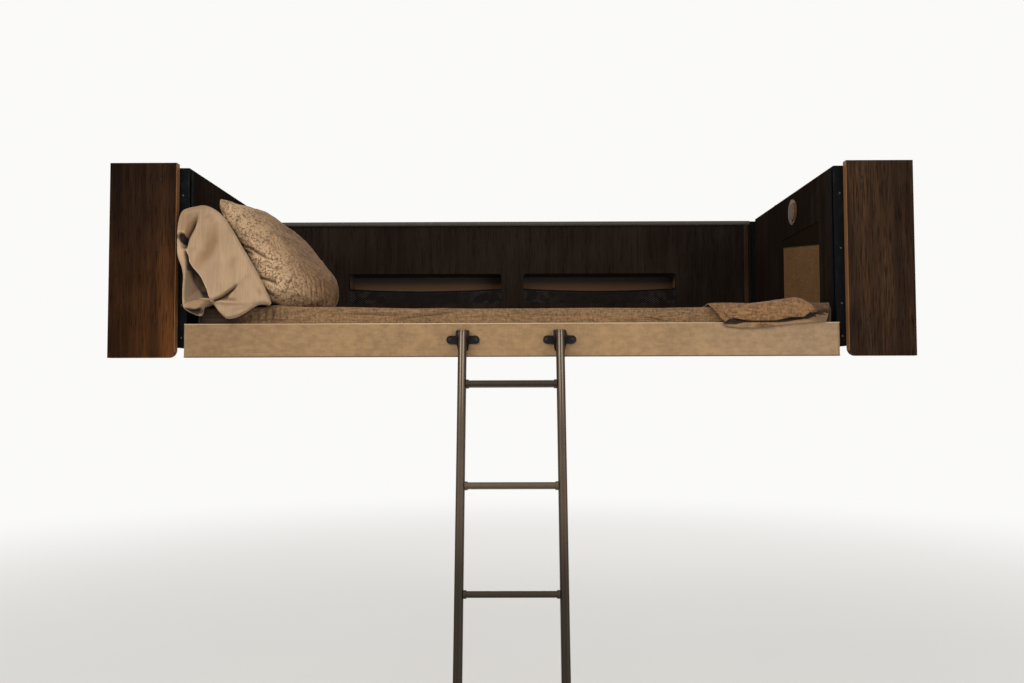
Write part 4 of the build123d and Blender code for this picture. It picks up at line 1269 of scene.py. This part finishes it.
class BUNK_OT_plain_pillow(BunkStep):
    """Plain pillow whose case hangs open at its end"""

    bl_idname = "bunk.plain_pillow"
    bl_label = "Plain pillow"

    def make(self, colours, sizes):
        low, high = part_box("pillow_plain")
        self.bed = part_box("pillow_patterned")[0].z + 0.0005
        self.edge = low.y + 0.003
        self.depth = sizes.case_depth
        outline = smooth_line(PLAIN_OUTLINE, 460, closed=True)
        # Past the end in X, the outline is drawn in so that it never passes it by more than its give
        x, end, give = outline[:, 0], -0.99, 0.0115
        outline[:, 0] = np.where(x < end, end - give * np.tanh((end - x) / give), x)
        flap, sill = smooth_line(CASE_FLAP, 90), smooth_line(CASE_SILL, 150)
        points, faces = self.case_end(outline, flap, sill)
        body, _, quads = plumped(*self.stuffing(outline, high.y), sizes.pillow_grid, 0.05, sizes.plumping)
        body[:, 2] = np.maximum(body[:, 2], self.bed)
        body[:, 0] = np.maximum(body[:, 0], low.x)
        body[:, 1] = np.minimum(body[:, 1], high.y + 0.004)
        # The case's colour lightened as a painted highlight on its rims, ridges and flap
        pale = shade(colours.plain_case, 1.45)
        shades = {"stain_and_shade": colours.stain_and_shade, "pale": pale, "fold": colours.fold, "hollow": colours.lining_shade}
        case = plain_cotton(colours.plain_case, **shades)
        every = [*faces, *[tuple(len(points) + corner for corner in quad) for quad in quads]]
        pillow = make_piece("plain_pillow", np.vstack([points, body]), every, case, "platform")
        self.shade(pillow, np.vstack([flap, sill[1:-1]]))
        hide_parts("pillow_plain")
        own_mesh(pillow)

    def shade(self, pillow, mouth):
        """The shares of the case's painted shades and highlights at its near end, and of the painted shade inside its
        mouth and gap.
        """
        spots = positions(pillow.data)
        flat, near = spots[:, [0, 2]], spots[:, 1] < NEAR_SHADES_END
        shares = {name: np.zeros(len(flat)) for name in ("stain_and_shade", "pale", "fold", "hollow")}
        for name, line, width, start, end, share in CASE_LINES:
            shares[name] = np.maximum(shares[name], share * groove(flat, line, width, start, end))
        for name, line, soft, share in CASE_PATCHES:
            shares[name] = np.maximum(shares[name], share * patch(flat, line, soft))
        # Inside the mouth the cloth is painted in shade, less where light reaches the inner wall and back
        within = np.clip(patch(flat, mouth, 0.005) * 2 - 1, 0, 1)
        light = 0.52 * patch(flat, INNER_WALL, 0.006) + 0.22 * patch(flat, INNER_BACK, 0.008)
        for name in ("stain_and_shade", "pale", "fold"):
            shares[name] *= near * (1 - within)
        hole = np.clip(patch(flat, CASE_GAP, 0.004) * 2 - 1, 0, 1)
        hollow = np.maximum(np.maximum(shares["hollow"], hole) * near, within * (1 - light))
        shares["hollow"] = hollow * (spots[:, 1] < MOUTH_SHADES_END)
        paint(pillow, **shares)

    def section(self, outline, y, inset=0.0):
        """The case's outline at a depth, drawn in on the side that faces the other pillow."""
        back = min(y - self.edge, 0.16)
        flat = outline.copy()
        side = np.clip((flat[:, 0] + 0.96) / 0.14, 0, 1)
        flat[:, 0] -= 0.34 * back * side * side * (3 - 2 * side)
        left = np.interp(y, (self.edge, -1.052, -1.045), (-1.0017, -0.992, -0.982))
        flat[:, 0] = np.maximum(flat[:, 0], left + inset)
        if inset:
            middle = np.array([-0.88, -0.31])
            flat += (middle - flat) * (inset / np.linalg.norm(flat - middle, axis=1))[:, None]
        if y > -1.0515:
            flat[:, 1] = np.maximum(flat[:, 1], self.bed + inset * 0.3)
        return flat

    def stuffing(self, outline, far):
        """The stuffed part of the pillow, a crowned form that narrows toward its far end."""
        rings = []
        near, far = -0.985, far - 0.004
        spine = np.array([-0.885, -0.335])
        for share in np.linspace(0.004, 0.996, 46):
            y = near + (far - near) * share
            flat = self.section(outline, y, 0.006)
            fat = (1 - abs(2 * share - 1) ** 4.5) ** 0.5 * (1 - 0.32 * share**2)
            flat = spine + (flat - spine) * fat
            rings.append([(x, y, max(z, self.bed + 0.001)) for x, z in flat])
        return lofted(rings, caps=(True, True))

    def case_end(self, outline, flap, sill):
        """The loose end of the case: its near side with the folds, the sleeve behind it and the inside of its mouth."""
        mouth = np.vstack([flap, sill[1:-1]])
        points, faces = [], []

        def join(spots, parts):
            start = sum(len(part) for part in points)
            points.append(np.array(spots))
            faces.extend(tuple(start + int(corner) for corner in part) for part in parts)

        flat, triangles = filled(outline, mouth, 0.0026)
        join(standing(flat, self.near_side(flat, outline, mouth)), triangles)
        flat, triangles = filled(mouth, None, 0.0026)
        left, right = nearest(flat, sill)[0], nearest(flat, flap)[0]
        run = left / np.maximum(left + right, 1e-6)
        sunk = 0.006 * np.clip(left / 0.003, 0, 1) + self.depth * run**1.25
        sunk *= np.clip(right / 0.0022, 0, 1) * (left > 1e-5)
        join(standing(flat, self.near_side(flat, outline, mouth) + sunk), triangles)
        rings = [standing(outline, self.near_side(outline, outline, mouth))]
        for y, inset in SLEEVE:
            rings.append(standing(self.section(outline, y, inset), y))
        join(*lofted(rings))
        return welded(np.vstack(points), faces)

    def near_side(self, flat, outline, mouth):
        """How far forward the case's near side stands at points of (X, Z)."""
        x, z = flat.T
        rim, lip = nearest(flat, loop(outline))[0], nearest(flat, loop(mouth))[0]
        bend = np.interp(z, (-0.445, -0.41), (0.007, 0.020))
        bend = np.where(x > -0.88, np.minimum(bend, np.interp(x, (-0.88, -0.84), (0.020, 0.011))), bend)
        left = np.clip((-0.955 - x) / 0.028, 0, 1)
        y = self.edge - 0.024 * left - (0.019 - 0.014 * left) * np.sqrt(1 - (1 - np.minimum(1, rim / bend)) ** 2)
        y -= 0.005 * np.exp(-(((x + 0.86) / 0.06) ** 2) - ((z + 0.30) / 0.10) ** 2)
        y -= 0.0025 * np.exp(-((lip / 0.005) ** 2)) * (x > -0.965)
        shaped = np.minimum(1, rim / 0.006)
        for corners, width, depth, start, end in CASE_FOLDS:
            y += depth * groove(flat, corners, width, start, end) * shaped
        for corners, width, depth, start, end in CASE_LEDGES:
            y += depth * ledge(flat, corners, width, start, end) * shaped
        y += 0.016 * patch(flat, CASE_GAP, 0.005)
        spots = standing(flat, 0.0)
        y += (0.0022 * ruffles(spots, (22, 1, 9), 5.0) + 0.0011 * ruffles(spots, (60, 1, 30), 2.0)) * shaped
        return np.clip(y, -1.1032, self.edge + 0.006)


# The patterned pillow seen from its near end, as (X, Z): its near edge from tip to foot, and its far side
PATTERNED_EDGE = (
    (-0.905, -0.098), (-0.898, -0.123), (-0.890, -0.147), (-0.880, -0.171), (-0.869, -0.196),
    (-0.856, -0.220), (-0.842, -0.244), (-0.829, -0.273), (-0.815, -0.303), (-0.803, -0.327),
    (-0.792, -0.352), (-0.778, -0.382), (-0.760, -0.409), (-0.744, -0.432),
)
PATTERNED_SIDE = (
    (-0.905, -0.098), (-0.887, -0.102), (-0.869, -0.107), (-0.852, -0.110), (-0.834, -0.112),
    (-0.816, -0.116), (-0.798, -0.122), (-0.782, -0.131), (-0.767, -0.142), (-0.751, -0.154),
    (-0.735, -0.165), (-0.716, -0.175), (-0.698, -0.186), (-0.684, -0.198), (-0.670, -0.212),
    (-0.658, -0.230), (-0.646, -0.247), (-0.634, -0.262), (-0.622, -0.277), (-0.610, -0.292),
    (-0.598, -0.307), (-0.586, -0.322), (-0.575, -0.337), (-0.567, -0.352), (-0.563, -0.373),
    (-0.562, -0.394), (-0.564, -0.420), (-0.572, -0.436), (-0.620, -0.437), (-0.680, -0.437), (-0.744, -0.432),
)

# Folds of its near side: a line as (X, Z), its width and its depth
PATTERNED_FOLDS = (
    (((-0.834, -0.246), (-0.806, -0.256), (-0.785, -0.267), (-0.764, -0.279), (-0.735, -0.293)), 0.0040, 0.011),
    (((-0.824, -0.265), (-0.803, -0.271), (-0.790, -0.281)), 0.0045, 0.008),
    (((-0.780, -0.348), (-0.754, -0.353), (-0.728, -0.360), (-0.710, -0.372)), 0.0045, 0.012),
    (((-0.770, -0.374), (-0.745, -0.393), (-0.722, -0.413)), 0.0045, 0.012),
    (((-0.767, -0.306), (-0.735, -0.317), (-0.704, -0.330)), 0.004, 0.004),
    (((-0.672, -0.338), (-0.685, -0.372), (-0.698, -0.403)), 0.0035, 0.004),
    (((-0.682, -0.385), (-0.649, -0.367)), 0.0035, 0.0035),
    (((-0.800, -0.205), (-0.770, -0.222), (-0.735, -0.250), (-0.700, -0.285)), 0.006, 0.0028),
    (((-0.830, -0.262), (-0.812, -0.290), (-0.800, -0.315)), 0.010, 0.007),
    (((-0.820, -0.228), (-0.790, -0.242), (-0.755, -0.262)), 0.007, -0.004),
    (((-0.775, -0.327), (-0.745, -0.335), (-0.720, -0.345)), 0.007, -0.004),
    (((-0.735, -0.370), (-0.712, -0.392)), 0.008, -0.004),
)


class BUNK_OT_patterned_pillow(BunkStep):
    """Speckled pillow that leans on the plain one"""

    bl_idname = "bunk.patterned_pillow"
    bl_label = "Patterned pillow"

    def make(self, colours, sizes):
        low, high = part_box("pillow_patterned")
        near, deep = -1.030, 0.155
        edge, side = smooth_line(PATTERNED_EDGE, 150), smooth_line(PATTERNED_SIDE, 150)
        middle = edge.mean(0) * 0.5 + side.mean(0) * 0.5
        edge, side = edge + (middle - edge) * 0.02, side + (middle - side) * 0.04
        rings = []

        def ring(width, y, tuck=0.0):
            inner = edge + (side - edge) * tuck
            across = inner + (side - inner) * width
            line = np.vstack([across, inner[::-1]])
            line[:, 1] = np.maximum(line[:, 1], low.z + 0.002)
            return standing(line, y)

        for turn in np.linspace(0.03, math.pi / 2, 30):
            rings.append(ring(math.sin(turn), near + deep * (1 - math.cos(turn))))
        back, far = near + deep, high.y - 0.012
        for share in np.linspace(0, 1, 30)[1:]:
            close = max(0.0, (share - 0.80) / 0.20)
            width = (1 - 0.40 * share**1.6) * math.sqrt(max(0.0004, 1 - close**2.2))
            rings.append(ring(width, back + (far - back) * share, 0.12 * close**2))
        form = lofted(rings, caps=(False, True))
        points, across, faces = plumped(*form, sizes.pillow_grid * 0.92, 0.06, sizes.plumping)
        flat = points[:, [0, 2]]
        facing = np.clip(-across[:, 1] * 2.2, 0, 1)
        ahead = np.clip((-0.80 - points[:, 1]) / 0.05, 0, 1)
        sink = np.zeros(len(points))
        for corners, width, depth in PATTERNED_FOLDS:
            sink += depth * groove(flat, corners, width, 0.5, 0.15)
        rim_x, rim_z = np.array(PATTERNED_SIDE[:-3]).T
        rim = np.interp(-points[:, 2], -rim_z, rim_x)
        wander = ruffles(points, (9, 9, 9), 4.0)
        right = np.clip((points[:, 0] + 0.69) / 0.07, 0, 1) * np.clip((-0.27 - points[:, 2]) / 0.08, 0, 1)
        wide = np.sin(2 * math.pi * (rim - points[:, 0]) / 0.0125 + 5 * wander)
        narrow = np.sin(2 * math.pi * (rim - points[:, 0]) / 0.0078 + 9 * ruffles(points, (14, 14, 10), 6.0))
        pleats = right * (0.6 * wide + 0.4 * narrow)
        crack = np.clip(-pleats - 0.3, 0, 1) / 0.7
        rumple = 0.0018 * ruffles(points, (30, 30, 22), 9.0) + 0.0012 * ruffles(points, (70, 70, 60), 2.0)
        points += across * (0.0022 * pleats * ahead + rumple - sink * facing)[:, None]
        away = points[:, [0, 2]] - PATTERNED_EDGE[0]
        near_tip = np.exp(-((np.linalg.norm(away, axis=1) / 0.016) ** 2))[:, None]
        points[:, [0, 2]] += np.array([-0.002, 0.0005]) * near_tip
        points[:, 2] = np.maximum(points[:, 2], low.z + 0.0006)
        points[:, 0] = np.clip(points[:, 0], low.x - 0.018, high.x + 0.018)
        shades = {"fold": colours.fold, "hollow": colours.lining_shade}
        case = speckled_cotton(colours.motif_case, colours.motif, srgb(112, 81, 53), **shades)
        pillow = make_piece("patterned_pillow", points, faces, case, "platform")
        # Painted shade in the bottoms of the near side's folds and pleats, and dark painted shade where this pillow
        # meets the plain one
        share = np.zeros(len(points))
        for corners, width, depth in PATTERNED_FOLDS:
            if depth > 0:
                share = np.maximum(share, min(0.95, depth / 0.009) * groove(flat, corners, width * 0.8, 0.8, 0.3))
        meeting = 1.5 * groove(flat, PATTERNED_EDGE[4:], 0.0175, 0.3, 1.0) * (points[:, 1] < -0.96)
        paint(pillow, fold=np.maximum(share * facing, crack * ahead * 0.75), hollow=np.minimum(meeting, 0.9))
        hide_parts("pillow_patterned")
        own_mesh(pillow)


# The folded throw's profile from its lower hem, over the fascia and the blanket to the fold, and back to
# its upper hem: Y, Z where it doesn't follow a line below, and its left and right edges
THROW_PROFILE = (
    (-1.0685, "low_hem", 0.640, 0.944), (-1.0680, -0.4945, 0.640, 0.946), (-1.0625, -0.4880, 0.637, 0.950),
    (-1.0560, -0.4845, 0.634, 0.953), (-1.0555, -0.4700, 0.628, 0.956), (-1.0545, -0.4480, 0.618, 0.960),
    (-1.0420, -0.4360, 0.612, 0.963), (-0.9500, -0.4355, 0.610, 0.965), (-0.7700, -0.4355, 0.610, 0.962),
    (-0.7300, -0.4270, 0.608, 0.950), (-0.7700, "under", 0.606, 0.935), (-0.9500, "under", 0.602, 0.918),
    (-1.0300, "top", 0.599, 0.905), (-1.0600, "shoulder", 0.600, 0.903), (-1.0710, "front", 0.612, 0.906),
    (-1.0765, "above_hem", 0.632, 0.915), (-1.0785, "high_hem", 0.641, 0.920), (-1.0740, "curl", 0.642, 0.920),
)

# Heights of the throw's top and of its two hems along the bunk, as X and Z
THROW_TOP = (
    (0.600, 0.616, 0.671, 0.727, 0.758, 0.804, 0.839, 0.863, 0.882, 0.897, 0.907, 0.930),
    (-0.4330, -0.4325, -0.4320, -0.4310, -0.4275, -0.4215, -0.4175, -0.4145, -0.4180, -0.4260, -0.4310, -0.4330),
)
THROW_HIGH_HEM = (
    (0.640, 0.653, 0.668, 0.695, 0.726, 0.796, 0.836, 0.879, 0.895, 0.922),
    (-0.4930, -0.4835, -0.4795, -0.4845, -0.4885, -0.4870, -0.4780, -0.4765, -0.4640, -0.4600),
)
THROW_LOW_HEM = (
    (0.638, 0.660, 0.684, 0.733, 0.798, 0.844, 0.905, 0.948),
    (-0.5035, -0.5065, -0.5095, -0.5105, -0.5030, -0.4990, -0.4945, -0.4930),
)


class BUNK_OT_throw(BunkStep):
    """Throw folded at the bunk's end, with both its hems hanging at the fascia"""

    bl_idname = "bunk.throw"
    bl_label = "Folded throw"

    def make(self, colours, sizes):
        rings = []
        for share in np.linspace(0, 1, 190):
            line = []
            for y, z, left, right in THROW_PROFILE:
                x = left + (right - left) * share
                top, hem = np.interp(x, *THROW_TOP), np.interp(x, *THROW_HIGH_HEM)
                places = {
                    "low_hem": np.interp(x, *THROW_LOW_HEM),
                    "under": top - 0.0035,
                    "top": top,
                    "shoulder": top - 0.008,
                    "front": top * 0.62 + hem * 0.38,
                    "above_hem": hem + 0.011,
                    "high_hem": hem,
                    "curl": hem - 0.001,
                }
                line.append((x, y, places.get(z, z)))
            rings.append(smooth_line(line, 120))
        spots = np.array(rings).reshape(-1, 3)
        swell = ruffles(spots, (11, 9, 22), 1.0) * 0.0022 + ruffles(spots, (42, 26, 50)) * 0.0009
        front = np.clip((-1.045 - spots[:, 1]) / 0.02, 0, 1)
        spots[:, 2] += swell * (1 - front)
        spots[:, 1] += swell * 1.3 * front
        points, faces = lofted(spots.reshape(len(rings), -1, 3), around=False)
        wool = woollen("throw_wool", colours.throw, 0.0062, 0.54, self.shadow)
        cloth = make_piece("throw_cloth", points, faces, wool, "platform")
        thicken(cloth, sizes.cloth_thickness)
        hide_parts("folded_throw")

    def shadow(self, cloth, base):
        """Painted shade between the two hems, ragged at the right end, painted shade above the gap at the right end,
        and the paler lower layer, with painted shade toward its right.
        """
        ragged = (cloth.noise((90, 60, 170)) - 0.5) * cloth.x.ramp(0.87, 0.92)
        above = cloth.z - (cloth.x.ramp(0.80, 0.90) * 0.011 + cloth.x.ramp(0.88, 0.955) * 0.0165 - 0.4925)
        above = above + cloth.x.ramp(0.705, 0.67) * 0.006 + ragged * 0.03
        behind = cloth.y.ramp(-1.0728, -1.0708)
        between = above.ramp(-0.0015, 0.001) * above.ramp(0.017, 0.010) * behind
        lower = above.ramp(0.0, -0.003) * behind
        rear = cloth.x.ramp(0.900, 0.915) * above.ramp(0.010, 0.016)
        pale, dim, shaded, dark = srgb(166, 137, 104), srgb(66, 51, 38), srgb(84, 66, 49), srgb(26, 23, 23)
        return cloth.over(
            base,
            (lower * 0.6, pale),
            (rear * 0.75, dim),
            (cloth.x.ramp(0.885, 0.935) * lower * 0.6, shaded),
            (between * 0.92, dark),
        )


class BUNK_OT_ladder(BunkStep):
    """Ladder tubes, heads and feet"""

    bl_idname = "bunk.ladder"
    bl_label = "Ladder"

    def make(self, colours, sizes):
        low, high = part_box("ladder_stile_right")
        dress(bronze_tube("stile_bronze", colours.bronze, (low.x + high.x) / 2), *both("ladder_stile", "ladder_head"))
        # Each rung is the same bronze, painted lighter or darker as the light fell on it
        for number, share in enumerate((0.42, 1.25, 0.42, 0.5, 0.5)):
            dress(bronze_tube(f"rung_bronze_{number + 1}", shade(colours.bronze, share)), f"rung_{number + 1}")
        rubber = moulded("foot_rubber", shade(colours.black, 1.1), 0.8, 700.0, gloss=0.2)
        dress(rubber, *both("ladder_foot"))


class BUNK_OT_brackets(BunkStep):
    """Ladder brackets on the fascia, their screws and the hook pins"""

    bl_idname = "bunk.brackets"
    bl_label = "Ladder brackets"

    def make(self, colours, sizes):
        dress(moulded("bracket_black", srgb(22, 19, 19), 0.45, 1500.0, gloss=0.15), *both("ladder_bracket"))
        steel = moulded("pin_steel", srgb(46, 42, 42), 0.4, 500.0, 0.5, gloss=0.3)
        dress(steel, *both("hook_pin"))
        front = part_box("fascia")[0].y - 0.005
        for label, _ in SIDES:
            low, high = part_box(f"ladder_bracket_{label}")
            for number, away in enumerate((-0.039, 0.039)):
                centre = ((low.x + high.x) / 2 + away, front, -0.543)
                screw_head(f"ear_screw_{label}_{number + 1}", centre, sizes.ear_screw, steel, "platform")


STEPS = (
    BUNK_OT_stage,
    BUNK_OT_boards,
    BUNK_OT_end_walls,
    BUNK_OT_rails,
    BUNK_OT_pockets,
    BUNK_OT_platform,
    BUNK_OT_fascia,
    BUNK_OT_mattress,
    BUNK_OT_blanket,
    BUNK_OT_plain_pillow,
    BUNK_OT_patterned_pillow,
    BUNK_OT_throw,
    BUNK_OT_ladder,
    BUNK_OT_brackets,
)


class BUNK_PT_panel(bpy.types.Panel):
    """The bunk's steps, sizes and colours"""

    bl_label = "Over-Cab Bunk"
    bl_space_type = "VIEW_3D"
    bl_region_type = "UI"
    bl_category = "Bunk"

    def draw(self, context):
        for step in STEPS:
            self.layout.operator(step.bl_idname)
        for group in (context.scene.bunk_sizes, context.scene.bunk_colours):
            for name in group.bl_rna.properties.keys():
                if name not in ("rna_type", "name"):
                    self.layout.prop(group, name)


CLASSES = (BunkColours, BunkSizes, *STEPS, BUNK_PT_panel)


def register():
    for kind in CLASSES:
        bpy.utils.register_class(kind)
    bpy.types.Scene.bunk_colours = bpy.props.PointerProperty(type=BunkColours)
    bpy.types.Scene.bunk_sizes = bpy.props.PointerProperty(type=BunkSizes)


def unregister():
    del bpy.types.Scene.bunk_sizes
    del bpy.types.Scene.bunk_colours
    for kind in reversed(CLASSES):
        bpy.utils.unregister_class(kind)


def main():
    register()
    bpy.ops.bunk.stage()
    bpy.ops.bunk.boards()
    bpy.ops.bunk.end_walls()
    bpy.ops.bunk.rails()
    bpy.ops.bunk.pockets()
    bpy.ops.bunk.platform()
    bpy.ops.bunk.fascia()
    bpy.ops.bunk.mattress()
    bpy.ops.bunk.blanket()
    bpy.ops.bunk.plain_pillow()
    bpy.ops.bunk.patterned_pillow()
    bpy.ops.bunk.throw()
    bpy.ops.bunk.ladder()
    bpy.ops.bunk.brackets()


if __name__ == "__main__":
    main()
